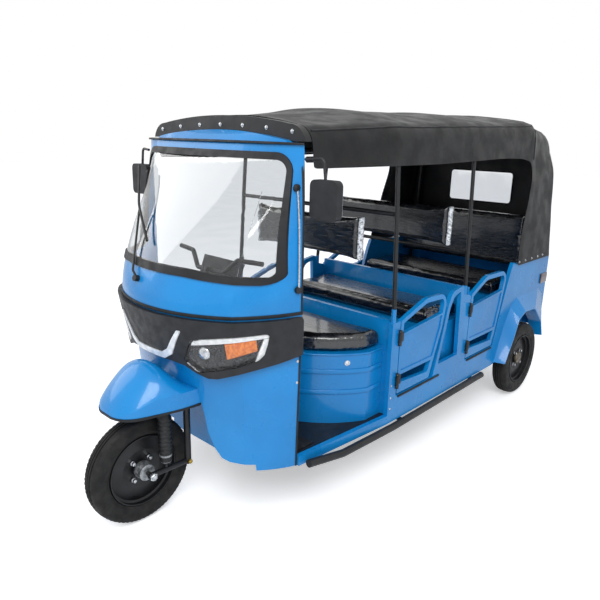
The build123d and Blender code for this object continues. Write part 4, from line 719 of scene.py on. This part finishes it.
black_cloth, tree, shader = start_material(
    "black_coated_cloth", {"Specular IOR Level": 0.3, "Sheen Weight": 0.04, "Sheen Roughness": 0.4}
)
tones(tree, shader, hex_colour("07080A"), hex_colour("101114"), 5.0)
tones(tree, shader, 0.42, 0.6, 9.0, socket="Roughness")
place = shade(tree, "ShaderNodeTexCoord").outputs["Object"]
weave = shade(tree, "ShaderNodeTexNoise", {"Scale": 1100.0, "Detail": 2.0}, {"Vector": place})
creases = shade(
    tree, "ShaderNodeTexNoise", {"Scale": 9.0, "Detail": 5.0, "Distortion": 0.6}, {"Vector": place}
)
crumple(tree, shader, creases, 6.0, weave, 0.35, 0.0012)
place_piece(canopy, "chassis", black_cloth)
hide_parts("canopy_cover")

# ---- canopy seams, window binding and hem studs ----
# Piping sewn along the roof's shoulders and over the rear bow, a bound edge round the window, and
# bright press studs that hold the hem to the body.
PIPING_R = 0.004
STUD_PLACES = (2.535, 2.630, 2.730, 2.835, 2.925)
STUD_R, SIDE_STUD_Z, BACK_STUD_Z = 0.008, 0.962, 0.955
BACK_STUDS, BACK_STUD_START, BACK_STUD_PITCH = 8, -0.49, 0.14


def cord_along(name, places, radius):
    """A round cord through the places, as a mesh."""
    curve = bpy.data.curves.new(name, "CURVE")
    curve.dimensions = "3D"
    curve.bevel_depth = radius
    curve.bevel_resolution = 2
    curve.use_fill_caps = True
    spline = curve.splines.new("POLY")
    spline.points.add(len(places) - 1)
    for point, place in zip(spline.points, places):
        point.co = (*place, 1.0)
    holder = bpy.data.objects.new(name, curve)
    scene.collection.objects.link(holder)
    choose(holder)
    bpy.ops.object.convert(target="MESH")
    piece = bpy.context.object
    smooth(piece, 50)
    return piece


seams = []
for side in (-1, 1):
    line = []
    for step in range(48):
        distance = 0.556 + (2.665 - 0.556) * step / 47
        _, half, shoulder, _, corner = between(CANOPY_STATIONS, distance)
        direction = Vector((0, -side, -1))
        start = Vector((behind(distance), side * (half - 0.3 * corner), shoulder - 0.3 * corner))
        start -= direction * 0.15
        line.append(canopy.ray_cast(start, direction.normalized())[1])
    seams.append(cord_along("seam", line, PIPING_R))
for distance in (2.668, 3.070):
    line = []
    for step in range(41):
        turn = -pi / 2 + pi * step / 40
        direction = Vector((0, -sin(turn), -cos(turn)))
        start = Vector((behind(distance), 0, 1.62)) - direction * 0.8
        hit, place, _, _ = canopy.ray_cast(start, direction)
        if hit:
            line.append(place)
    seams.append(cord_along("seam", line, PIPING_R * 1.2))
place_piece(joined(seams, "canopy_piping"), "chassis", black_rubber)

bpy.ops.mesh.primitive_plane_add(size=1.0)
binding = bpy.context.object
binding.data.transform(Matrix.Diagonal((2 * WINDOW_HALF + 0.05, WINDOW_HIGH - WINDOW_LOW + 0.05, 1, 1)))
bpy.ops.object.mode_set(mode="EDIT")
bpy.ops.mesh.select_all(action="SELECT")
bpy.ops.mesh.bevel(offset=0.06, segments=8, affect="VERTICES")
bpy.ops.mesh.inset(thickness=0.038)
bpy.ops.mesh.delete(type="FACE")
bpy.ops.object.mode_set(mode="OBJECT")
facing_back = Matrix(((0, 0, -1, 0), (-1, 0, 0, 0), (0, 1, 0, 0), (0, 0, 0, 1)))
window_place = (behind(TAIL) - 0.0005, 0, (WINDOW_LOW + WINDOW_HIGH) / 2)
binding.data.transform(Matrix.Translation(window_place) @ facing_back)
binding.name = "window_binding"
wall(binding, 0.004, 0.0, 0.0012)
place_piece(binding, "chassis", black_cloth)

studs = []
for side in (-1, 1):
    for distance in STUD_PLACES:
        start = Vector((behind(distance), side * 0.9, SIDE_STUD_Z))
        place = canopy.ray_cast(start, Vector((0, -side, 0)))[1]
        studs.append(screw(place, (0, side, 0), STUD_R))
for step in range(BACK_STUDS):
    y = BACK_STUD_START + BACK_STUD_PITCH * step
    studs.append(screw(Vector((behind(TAIL) - 0.0005, y, BACK_STUD_Z)), (-1, 0, 0), STUD_R))
place_piece(joined(studs, "hem_studs"), "chassis", bright_zinc)

# ---- cushions and backrests ----
# Foam cushions and backrests in black leatherette, still wrapped in the clear film they were
# delivered in, which is drawn tight over them and crinkles.
black_leatherette, tree, shader = start_material(
    "leatherette_under_film", {"Coat Weight": 0.9, "Coat Roughness": 0.1, "Specular IOR Level": 0.6}
)
place = shade(tree, "ShaderNodeTexCoord").outputs["Object"]
stretched = shade(tree, "ShaderNodeMapping", {"Scale": (1.0, 0.35, 1.6)}, {"Vector": place})
along = {"Vector": stretched.outputs[0]}
folds = shade(tree, "ShaderNodeTexNoise", {"Scale": 16.0, "Detail": 7.0, "Distortion": 1.6}, along)
crackle = shade(tree, "ShaderNodeTexVoronoi", {"Scale": 34.0, "feature": "DISTANCE_TO_EDGE"}, along)
# The fold ridges get a lighter tone than the hollows: a painted highlight for the shine on the crinkled film.
painted_ridge_highlights = shade(tree, "ShaderNodeValToRGB", links={"Fac": folds.outputs[0]})
painted_ridge_highlights.color_ramp.elements[0].position = 0.45
painted_ridge_highlights.color_ramp.elements[0].color = hex_colour("0D0E11")
painted_ridge_highlights.color_ramp.elements[1].position = 0.85
painted_ridge_highlights.color_ramp.elements[1].color = hex_colour("24272C")
tree.links.new(painted_ridge_highlights.outputs["Color"], shader.inputs["Base Color"])
rough = shade(
    tree, "ShaderNodeMapRange", {"From Min": 0.3, "From Max": 0.7, "To Min": 0.16, "To Max": 0.36},
    {"Value": folds.outputs[0]},
)
tree.links.new(rough.outputs[0], shader.inputs["Roughness"])
crumple(tree, shader, crackle, 0.9, folds, 0.45, 0.005)

CLOTH_FRAMES, CLOTH_PRESSURE, CLOTH_STIFFNESS = 20, 4.0, 18
QUICK_VOXEL, CHANNEL_DEPTH, CHANNEL_END, PUCKER, PAD_MARGIN = 0.02, 0.007, 0.06, 0.0014, 0.0008
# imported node, what is taken off each side before it swells, the most a point may move, size of the
# remesh, direction of the pad's face and how many channels are sewn across it
PADS = (
    ("driver_cushion", 0.010, 0.022, 0.010, (0, 0, 1), 0),
    ("middle_cushion", 0.010, 0.022, 0.011, (0, 0, 1), 6),
    ("rear_cushion", 0.010, 0.022, 0.011, (0, 0, 1), 6),
    ("driver_backrest", 0.007, 0.014, 0.009, (-1, 0, 0), 0),
    ("middle_backrest", 0.007, 0.014, 0.009, (-1, 0, 0), 0),
    ("rear_backrest", 0.007, 0.014, 0.010, (1, 0, 0), 5),
)


def shrunk(piece, by):
    """Draws the piece in from all sides, by so many metres a side."""
    low = Vector([min(v.co[i] for v in piece.data.vertices) for i in range(3)])
    high = Vector([max(v.co[i] for v in piece.data.vertices) for i in range(3)])
    middle = (low + high) / 2
    for vertex in piece.data.vertices:
        for i in range(3):
            half = (high[i] - low[i]) / 2
            vertex.co[i] = middle[i] + (vertex.co[i] - middle[i]) * (half - by) / half


def swollen(piece, cap):
    """Blows the pad up as cloth over its foam, and holds each point within the cap of its start."""
    start = [vertex.co.copy() for vertex in piece.data.vertices]
    choose(piece)
    modifier = piece.modifiers.new("stuffing", "CLOTH")
    modifier.settings.use_pressure = True
    modifier.settings.uniform_pressure_force = CLOTH_PRESSURE
    modifier.settings.effector_weights.gravity = 0.0
    modifier.settings.quality = 4
    modifier.settings.tension_stiffness = CLOTH_STIFFNESS
    modifier.settings.compression_stiffness = CLOTH_STIFFNESS
    modifier.point_cache.frame_start = 1
    modifier.point_cache.frame_end = CLOTH_FRAMES
    for step in range(1, CLOTH_FRAMES + 1):
        scene.frame_set(step)
    bpy.ops.object.modifier_apply(modifier=modifier.name)
    for vertex, first in zip(piece.data.vertices, start):
        move = vertex.co - first
        if move.length > cap:
            vertex.co = first + move * (cap / move.length)
    scene.frame_set(1)


for node, inset, cap, voxel, face_way, channels in PADS:
    pad = copied(node, f"{node}_pad")
    low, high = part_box(node)
    shrunk(pad, inset)
    remesh = pad.modifiers.new("remesh", "REMESH")
    remesh.mode = "VOXEL"
    remesh.voxel_size = voxel
    apply_all(pad)
    swollen(pad, cap)
    up = Vector(face_way)
    axis = [i for i in range(3) if abs(up[i]) > 0.5][0]
    face_at = (high if up[axis] > 0 else low)[axis]
    floor_at = (low if up[axis] > 0 else high)[axis]
    for vertex in pad.data.vertices:
        depth = abs(vertex.co[axis] - floor_at) / abs(face_at - floor_at)
        away = min(vertex.co.y - low.y, high.y - vertex.co.y)
        if channels and depth > 0.6:
            across = 0 if axis == 2 else 2
            share = (vertex.co[across] - low[across]) / (high[across] - low[across])
            wave = abs(sin(pi * share * channels))
            held = min(1.0, away / CHANNEL_END)
            vertex.co[axis] -= up[axis] * CHANNEL_DEPTH * (1 - wave) ** 3 * held
        pucker = noise.noise(Vector((vertex.co.x * 38, vertex.co.y * 26, vertex.co.z * 38)))
        vertex.co += vertex.normal * PUCKER * pucker
        for i in range(3):
            vertex.co[i] = min(max(vertex.co[i], low[i] + PAD_MARGIN), high[i] - PAD_MARGIN)
    soften = pad.modifiers.new("soften", "SUBSURF")
    soften.levels = soften.render_levels = 1
    apply_all(pad)
    smooth(pad, 60)
    place_piece(pad, body_of(node), black_leatherette)
    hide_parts(node)

# ---- clear film's gathered edges ----
# Where the film is folded over and taped, a bright crumpled bead runs down both ends of the driver's
# and the middle backrest.
# The bead's light and dark patches are partly the gathered film's own whitish look and partly painted glints
# on its crumples.
film_bead = surface(
    "gathered_film", {"Coat Weight": 1.0, "Coat Roughness": 0.05}, ("6E747C", "EEF2F6", 110.0),
    (0.08, 0.3, 90.0), (160.0, 0.004, 0.9), edges=(0.35, 0.6),
)
BEAD_R = 0.011
for node in ("driver_backrest", "middle_backrest"):
    low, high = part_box(node)
    beads = []
    for y in (low.y + BEAD_R + 0.002, high.y - BEAD_R - 0.002):
        line = []
        for step in range(29):
            place = Vector(((low.x + high.x) / 2, y, low.z + 0.014 + (high.z - low.z - 0.028) * step / 28))
            line.append(place + Vector((noise.noise(place * 60), 0, 0)) * 0.003)
        bead = cord_along("bead", line, BEAD_R)
        for vertex in bead.data.vertices:
            middle = (low.x + high.x) / 2
            vertex.co.x = middle + (vertex.co.x - middle) * 1.9
            vertex.co += vertex.normal * 0.0028 * noise.noise(vertex.co * 120)
        beads.append(bead)
    place_piece(joined(beads, f"{node}_film_beads"), "chassis", film_bead)

# ---- driver's seat box ----
# Pressed blue steel drum with a rolled top rim and two rounded swages round its bow, and a round
# lock on its side.
SWAGES = ((0.695, 0.704, 0.006), (0.598, 0.622, 0.006), (0.488, 0.512, 0.006))
SEAT_CENTRE = Vector((0.35, 0, 0))
for low_z, high_z, proud in SWAGES:
    swage = band_on(
        "driver_seat_box", f"seat_box_swage_{round(low_z * 1000)}",
        (((0, 0, high_z), UP), ((0, 0, low_z), -UP), ((0.315, 0, 0), (-1, 0, 0))),
        outwards_from(SEAT_CENTRE, 0.2), proud, 0.0045,
    )
    place_piece(swage, "chassis", blue_enamel)
place, normal = on_skin("driver_seat_box", (0.52, 1.2, 0.655), (0, -1, 0))
lock = screw(place, normal, 0.014)
lock.name = "seat_lock"
place_piece(lock, "chassis", bright_zinc)

# ---- floor mat ----
# A ribbed black rubber mat, cut to the cab's floor and laid in front of the driver's seat.
MAT_HALF, MAT_FRONT, MAT_REAR, MAT_RIBS = 0.50, 0.93, 0.79, 12
MAT_Z, MAT_RIB_HEIGHT, MAT_THICKNESS = 0.3305, 0.0022, 0.003
bpy.ops.mesh.primitive_grid_add(x_subdivisions=MAT_RIBS * 2, y_subdivisions=2, size=1.0)
mat = bpy.context.object
mat.name = "floor_mat"
mat_size = Matrix.Diagonal((MAT_FRONT - MAT_REAR, 2 * MAT_HALF, 1, 1))
mat.data.transform(Matrix.Translation(((MAT_FRONT + MAT_REAR) / 2, 0, MAT_Z)) @ mat_size)
for vertex in mat.data.vertices:
    if round((vertex.co.x - MAT_REAR) / (MAT_FRONT - MAT_REAR) * MAT_RIBS * 2) % 2:
        vertex.co.z += MAT_RIB_HEIGHT
wall(mat, MAT_THICKNESS)
place_piece(mat, "chassis", black_rubber)

# ---- black steelwork ----
# Frame, canopy tubes, fork, axle, springs and floor: welded steel in the roof band's satin black
# enamel. The springs' boots, the battery's case and the tail lamps follow.
STEELWORK = (
    "canopy_rails", "canopy_bows", "backrest_bars", "step_bars", "chassis_frame", "fork", "leaf_springs",
    "rear_axle", "floor_pan", "wiper", "handlebar", "front_rim", "rear_rim_left", "rear_rim_right",
)
for node in STEELWORK:
    dress(node, satin_black)
boot_rubber = surface(
    "boot_rubber", {"Specular IOR Level": 0.4}, ("0F1012", "1A1B1D", 30.0),
    (0.35, 0.55, 40.0), (1200.0, 0.0003, 0.3),
)
dress("front_shocks", boot_rubber)
battery_case = surface(
    "battery_case", {"Roughness": 0.6}, ("1C1E20", "26282A", 12.0),
    bumps=(700.0, 0.0003, 0.3),
)
dress("battery_block", battery_case)
red_lens, tree, shader = start_material("red_lens", {"Roughness": 0.15, "Coat Weight": 1.0})
tones(tree, shader, hex_colour("8E1015"), hex_colour("C21A20"), 60.0)
place = shade(tree, "ShaderNodeTexCoord").outputs["Object"]
flutes = shade(tree, "ShaderNodeTexWave", {"Scale": 60.0, "bands_direction": "Y"}, {"Vector": place})
bump = shade(tree, "ShaderNodeBump", {"Strength": 0.5, "Distance": 0.001}, {"Height": flutes.outputs[0]})
tree.links.new(bump.outputs["Normal"], shader.inputs["Normal"])
dress("tail_lamps", red_lens)

# ---- tyres ----
# Black moulded rubber tyres: three grooves round the tread, short sipes across its ribs and a
# raised line round each sidewall.
AXLE_Z, RIM_R = 0.255, 0.1675
REAR_AXLE_X, REAR_TYRE_Y = 1.4225 - 2.668, 0.5985
GROOVE_DEPTH, GROOVE_HALF = 0.006, 0.0026
SPIN_STEPS = 144
tyre_rubber = surface(
    "tyre_rubber", {"Specular IOR Level": 0.3}, ("141414", "222120", 18.0),
    (0.6, 0.82, 30.0), (800.0, 0.0004, 0.3),
)
# node, body, X of the axle, middle of the tyre, half width
TYRES = (
    ("front_tyre", "front_wheel", FRONT_AXLE_X, 0.0, 0.048),
    ("rear_tyre_left", "rear_wheel_left", REAR_AXLE_X, REAR_TYRE_Y, 0.051),
    ("rear_tyre_right", "rear_wheel_right", REAR_AXLE_X, -REAR_TYRE_Y, 0.051),
)
for node, body, axle_x, middle_y, half in TYRES:
    side_line = [
        (0.62, RIM_R), (0.80, RIM_R + 0.005), (0.90, RIM_R + 0.016), (0.93, RIM_R + 0.018),
        (0.94, RIM_R + 0.022), (0.985, 0.205), (0.99, 0.216), (0.97, 0.226), (0.945, 0.2335),
        (0.90, 0.2405), (0.82, 0.2463), (0.72, 0.2497),
    ]
    crown = []
    for share in (0.62, 0.31, 0.0, -0.31, -0.62):
        top = 0.2549 - 0.0035 * share * share / 0.4
        y = share * half
        if share in (0.31, 0.0, -0.31):
            crown += [(y + GROOVE_HALF * 1.5, top), (y + GROOVE_HALF, top - GROOVE_DEPTH),
                      (y - GROOVE_HALF, top - GROOVE_DEPTH), (y - GROOVE_HALF * 1.5, top)]
        else:
            crown.append((y, top))
    profile = [(share * half, radius) for share, radius in side_line] + crown
    profile += [(-share * half, radius) for share, radius in side_line[::-1]]
    bpy.ops.mesh.primitive_circle_add(vertices=len(profile), radius=0.1, fill_type="NOTHING")
    tyre = bpy.context.object
    tyre.name = f"{node}_tread"
    for vertex, (y, radius) in zip(tyre.data.vertices, profile):
        vertex.co = (axle_x, middle_y + y, AXLE_Z + radius)
    bpy.ops.object.mode_set(mode="EDIT")
    bpy.ops.mesh.select_all(action="SELECT")
    bpy.ops.mesh.spin(steps=SPIN_STEPS, angle=2 * pi, center=(axle_x, middle_y, AXLE_Z), axis=(0, 1, 0))
    bpy.ops.mesh.select_all(action="SELECT")
    bpy.ops.mesh.remove_doubles(threshold=0.0002)
    bpy.ops.mesh.normals_make_consistent(inside=False)
    bpy.ops.object.mode_set(mode="OBJECT")
    for vertex in tyre.data.vertices:
        out = Vector((vertex.co.x - axle_x, 0, vertex.co.z - AXLE_Z))
        across = abs(vertex.co.y - middle_y) / half
        turn = (atan2(out.z, out.x) / (2 * pi) * SPIN_STEPS) % 2
        if out.length > 0.2445 and 0.33 < across < 0.86 and (turn < 0.5 or turn > 1.5):
            vertex.co -= out.normalized() * 0.0024
    smooth(tyre, 32)
    place_piece(tyre, body, tyre_rubber)
    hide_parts(node)

# ---- wheel nuts, hub caps and axle ends ----
# Zinc wheel nuts on the black steel discs, a turned grey hub with the axle's bright nut in front,
# and bronze-grey brake-hub caps behind.
cast_alloy = surface(
    "cast_alloy", {"Metallic": 0.85}, ("7C7F82", "A7AAAD", 60.0),
    (0.35, 0.6, 90.0), (500.0, 0.0005, 0.4),
)
bronze_cap = surface(
    "bronze_grey_cap", {"Metallic": 0.8}, ("5F584E", "8C8274", 50.0),
    (0.35, 0.6, 90.0),
)
NUT_CIRCLE = 0.060


def turned(name, rings, place, direction, steps=40):
    """A turned part from (along, radius) rings, standing at a place and looking along a direction."""
    bpy.ops.mesh.primitive_circle_add(vertices=steps, radius=rings[0][1], fill_type="NGON")
    piece = bpy.context.object
    bpy.ops.object.mode_set(mode="EDIT")
    bpy.ops.mesh.select_all(action="SELECT")
    for (along, radius), (next_along, next_radius) in zip(rings, rings[1:]):
        bpy.ops.mesh.extrude_region_move(TRANSFORM_OT_translate={"value": (0, 0, next_along - along)})
        bpy.ops.transform.resize(value=(next_radius / radius, next_radius / radius, 1))
    bpy.ops.mesh.select_all(action="SELECT")
    bpy.ops.mesh.normals_make_consistent(inside=False)
    bpy.ops.object.mode_set(mode="OBJECT")
    piece.data.transform(stood(place, direction))
    piece.name = name
    smooth(piece, 40)
    return piece


LONG_CAP = (
    (0, 0.040), (0.004, 0.041), (0.018, 0.040), (0.020, 0.039), (0.048, 0.0385), (0.051, 0.034),
    (0.052, 0.018),
)
SHORT_CAP = ((0, 0.040), (0.004, 0.041), (0.010, 0.040), (0.012, 0.034), (0.013, 0.018))
REAR_CAP = ((0, 0.040), (0.004, 0.0405), (0.014, 0.0385), (0.017, 0.033), (0.018, 0.020))
NUT = ((0, 0.012), (0.004, 0.012), (0.006, 0.0095), (0.017, 0.009), (0.019, 0.005))
# body, X of the axle, face of the disc, the way it looks, material of the cap, rings of the cap
HUBS = (
    ("front_wheel", FRONT_AXLE_X, 0.019, 1, cast_alloy, LONG_CAP),
    ("front_wheel", FRONT_AXLE_X, -0.036, -1, cast_alloy, SHORT_CAP),
    ("rear_wheel_left", REAR_AXLE_X, 0.6165, 1, bronze_cap, REAR_CAP),
    ("rear_wheel_right", REAR_AXLE_X, -0.6165, -1, bronze_cap, REAR_CAP),
)
for at, (body, axle_x, y, way, material, rings) in enumerate(HUBS):
    cap = turned(f"hub_cap_{at}", rings, Vector((axle_x, y, AXLE_Z)), (0, way, 0))
    place_piece(cap, body, material)
    nuts = []
    for nut in range(4):
        turn = pi / 4 + pi / 2 * nut
        place = Vector((axle_x + NUT_CIRCLE * cos(turn), y + way * -0.004, AXLE_Z + NUT_CIRCLE * sin(turn)))
        nuts.append(turned("nut", NUT, place, (0, way, 0), 6))
    place_piece(joined(nuts, f"wheel_nuts_{at}"), body, bright_zinc)

# ---- front suspension dressing ----
# Ribbed rubber boots over the coil springs, cast lower sleeves, brass bolts at the link arms and
# the axle's bright end nuts.
brass = surface("brass_bolt", {"Metallic": 1.0}, ("A98A3C", "D8B964", 120.0), (0.25, 0.45, 120.0))
SHOCK_X, SHOCK_Y = 1.3425, 0.098
BOOT_FOOT_Z, BOOT_RIBS, RIB_PITCH, SLEEVE_FOOT_Z = 0.338, 9, 0.020, 0.292
AXLE_NUT_Y = 0.1105
LINK_BOLT = (1.2225, 0.1135, 0.25)
boots, sleeves, ends, bolts = [], [], [], []
for side in (-1, 1):
    y = side * SHOCK_Y
    rings = [(0.0, 0.022)]
    for rib in range(BOOT_RIBS):
        foot = RIB_PITCH * rib
        rings += [(0.008 + foot, 0.0325), (0.013 + foot, 0.0325), (0.020 + foot, 0.0285)]
    rings.append((0.196, 0.024))
    boots.append(turned("boot", rings, Vector((SHOCK_X, y, BOOT_FOOT_Z)), (0, 0, 1)))
    sleeves.append(turned(
        "sleeve",
        ((0, 0.014), (0.004, 0.0255), (0.030, 0.0255), (0.034, 0.0295), (0.042, 0.0295), (0.044, 0.02)),
        Vector((SHOCK_X, y, SLEEVE_FOOT_Z)), (0, 0, 1),
    ))
    ends.append(turned(
        "end", ((0, 0.019), (0.010, 0.019), (0.011, 0.013), (0.018, 0.013), (0.019, 0.008)),
        Vector((FRONT_AXLE_X, side * AXLE_NUT_Y, AXLE_Z)), (0, side, 0), 6,
    ))
    bolts.append(turned(
        "bolt", ((0, 0.012), (0.008, 0.0115), (0.010, 0.007)),
        Vector((LINK_BOLT[0], side * LINK_BOLT[1], LINK_BOLT[2])), (0, side, 0), 6,
    ))
place_piece(joined(boots, "spring_boots"), "steering", boot_rubber)
place_piece(joined(sleeves, "spring_sleeves"), "steering", cast_alloy)
place_piece(joined(ends, "axle_end_nuts"), "steering", bright_zinc)
place_piece(joined(bolts, "link_bolts"), "steering", brass)

# ---- driver's doorway ----
# Rivets down the pillar's rear edge and the seat's side, and the bright grab rod between two black
# clips, on both sides of the cab.
ROD_X, ROD_LOW, ROD_HIGH, ROD_STEPS, ROD_R = 0.9645, 1.12, 1.535, 12, 0.0045
ROD_PROUD, CLIP_SUNK = 0.011, 0.012
PILLAR_RIVETS_X, PILLAR_RIVETS = 0.950, (0.985, 0.905, 0.80, 0.70)
SEAT_RIVETS_X, SEAT_RIVETS_Y, SEAT_RIVETS = 0.295, 0.592, (0.50, 0.43, 0.37)
RIVET_R = 0.006
for side_name, side in SIDES:
    line = []
    for step in range(ROD_STEPS + 1):
        share = step / ROD_STEPS
        z = ROD_LOW + (ROD_HIGH - ROD_LOW) * share
        place, _ = on_skin("cab_upper", (ROD_X, side * 0.9, z), (0, -side, 0))
        line.append(place + Vector((0, side * ROD_PROUD, 0)))
    place_piece(cord_along(f"grab_rod_{side_name}", line, ROD_R), "chassis", bright_zinc)
    clips = []
    for place in (line[0], line[-1]):
        clips.append(turned(
            "clip", ((0, 0.014), (0.004, 0.016), (0.014, 0.015), (0.018, 0.009)),
            place + Vector((0, -side * CLIP_SUNK, 0)), (0, side, 0), 24,
        ))
    place_piece(joined(clips, f"grab_rod_clips_{side_name}"), "chassis", moulded_black)
    rivets = []
    for z in PILLAR_RIVETS:
        place, normal = on_skin("cab_apron", (PILLAR_RIVETS_X, side * 0.9, z), (0, -side, 0))
        rivets.append(screw(place, normal, RIVET_R))
    for z in SEAT_RIVETS:
        rivets.append(screw(Vector((SEAT_RIVETS_X, side * SEAT_RIVETS_Y, z)), (0, side, 0), RIVET_R))
    place_piece(joined(rivets, f"doorway_rivets_{side_name}"), "chassis", bright_zinc)

# ---- door trim ----
# A black rubber sill strip under each half door, clipped to the side panel.
SILL_STRIPS = ((0.235, -0.185), (-0.515, -0.845))
SILL_Y, SILL_Z, SILL_THICKNESS, SILL_HEIGHT = 0.596, 0.4235, 0.008, 0.011
for side_name, side in SIDES:
    strips = []
    for front, rear in SILL_STRIPS:
        bpy.ops.mesh.primitive_cube_add(size=1.0)
        strip = bpy.context.object
        strip_size = Matrix.Diagonal((front - rear, SILL_THICKNESS, SILL_HEIGHT, 1))
        strip.data.transform(Matrix.Translation(((front + rear) / 2, side * SILL_Y, SILL_Z)) @ strip_size)
        bevel = strip.modifiers.new("edge", "BEVEL")
        bevel.width = 0.003
        bevel.segments = 2
        apply_all(strip)
        smooth(strip)
        strips.append(strip)
    place_piece(joined(strips, f"door_sill_strips_{side_name}"), "chassis", black_rubber)

# ---- rubber edges ----
# A black rubber lip under the mudguard's rim, and an edge strip down the rear edge of the cab's
# pillars on both sides.
MUDGUARD_RIM_REAR, MUDGUARD_RIM_FRONT = Vector((1.1875, 0, 0.584)), Vector((1.5655, 0, 0.5725))
rim_way = (MUDGUARD_RIM_FRONT - MUDGUARD_RIM_REAR).normalized()
rim_up = Vector((-rim_way.z, 0, rim_way.x))
mudguard_lip = band_on(
    "front_fender", "mudguard_lip", ((MUDGUARD_RIM_REAR, rim_up),),
    outwards_from(Vector((1.33, 0, 0)), 0.15), 0.0035, 0.001,
)
place_piece(mudguard_lip, "chassis", black_rubber)
edges = []
for node, high_z in (("cab_apron", 1.0), ("cab_upper", 1.69)):
    edges.append(band_on(
        node, f"{node}_edge", (((0.9455, 0, 0), (1, 0, 0)), ((0, 0, high_z), UP)),
        lambda face: abs(face.normal.y) > 0.6 and face.normal.y * face.center.y > 0, 0.003, 0.001,
    ))
place_piece(joined(edges, "pillar_edge_strips"), "chassis", black_rubber)

# ---- door hinges ----
# Black steel knuckles on the doors' front edges and on the posts beside them.
HINGES = (("front", 0.2585), ("rear", -0.4855))
HINGE_SKIN_Y, DOOR_LEAF, POST_LEAF, HINGE_WALL = 0.5935, 0.0375, 0.0125, 0.0008


def every_face(_):
    """True for all that the cuts leave."""
    return True


for door_name, hinge_x in HINGES:
    for side_name, side in SIDES:
        node = f"{door_name}_door_{side_name}"
        knuckles = band_on(
            node, f"{node}_knuckles",
            (((0, side * HINGE_SKIN_Y, 0), (0, -side, 0)), ((hinge_x - DOOR_LEAF, 0, 0), (-1, 0, 0))),
            every_face, HINGE_WALL,
        )
        place_piece(knuckles, node, satin_black)
post_knuckles = []
for _, hinge_x in HINGES:
    for side in (1, -1):
        post_knuckles.append(band_on(
            "side_panels", "knuckles",
            (((0, side * HINGE_SKIN_Y, 0), (0, -side, 0)), ((hinge_x - POST_LEAF, 0, 0), (-1, 0, 0)),
             ((hinge_x + POST_LEAF, 0, 0), (1, 0, 0))),
            every_face, HINGE_WALL,
        ))
place_piece(joined(post_knuckles, "post_knuckles"), "chassis", satin_black)

# ---- mirror glasses and side lamps ----
# Silvered glass let into the mirrors' rear faces, and dark red lamps round the tail's corners.
silvered_glass = surface(
    "silvered_glass", {"Metallic": 1.0}, ("DDE3E8", "EEF2F5", 6.0),
    (0.02, 0.05, 8.0),
)
glasses = band_on(
    "mirrors", "mirror_glasses", (((0, 0, 1.435), (0, 0, -1)), ((0, 0, 1.60), UP)),
    lambda face: face.normal.x < -0.9 and abs(face.center.y) > 0.60, 0.0008,
)
place_piece(glasses, "chassis", silvered_glass)
dark_lens = surface(
    "dark_red_lens", {"Roughness": 0.18, "Coat Weight": 1.0}, ("2A1214", "4A1A1C", 50.0),
)
side_lamps = []
for side in (1, -1):
    side_lamps.append(band_on(
        "rear_body", "side_lamp",
        (((-1.545, 0, 0), (1, 0, 0)), ((-1.655, 0, 0), (-1, 0, 0)), ((0, 0, 0.812), UP), ((0, 0, 0.742), -UP),
         ((0, side * 0.56, 0), (0, -side, 0))),
        lambda face, side=side: face.normal.y * side > 0.8, 0.009, 0.003,
    ))
place_piece(joined(side_lamps, "side_lamps"), "chassis", dark_lens)
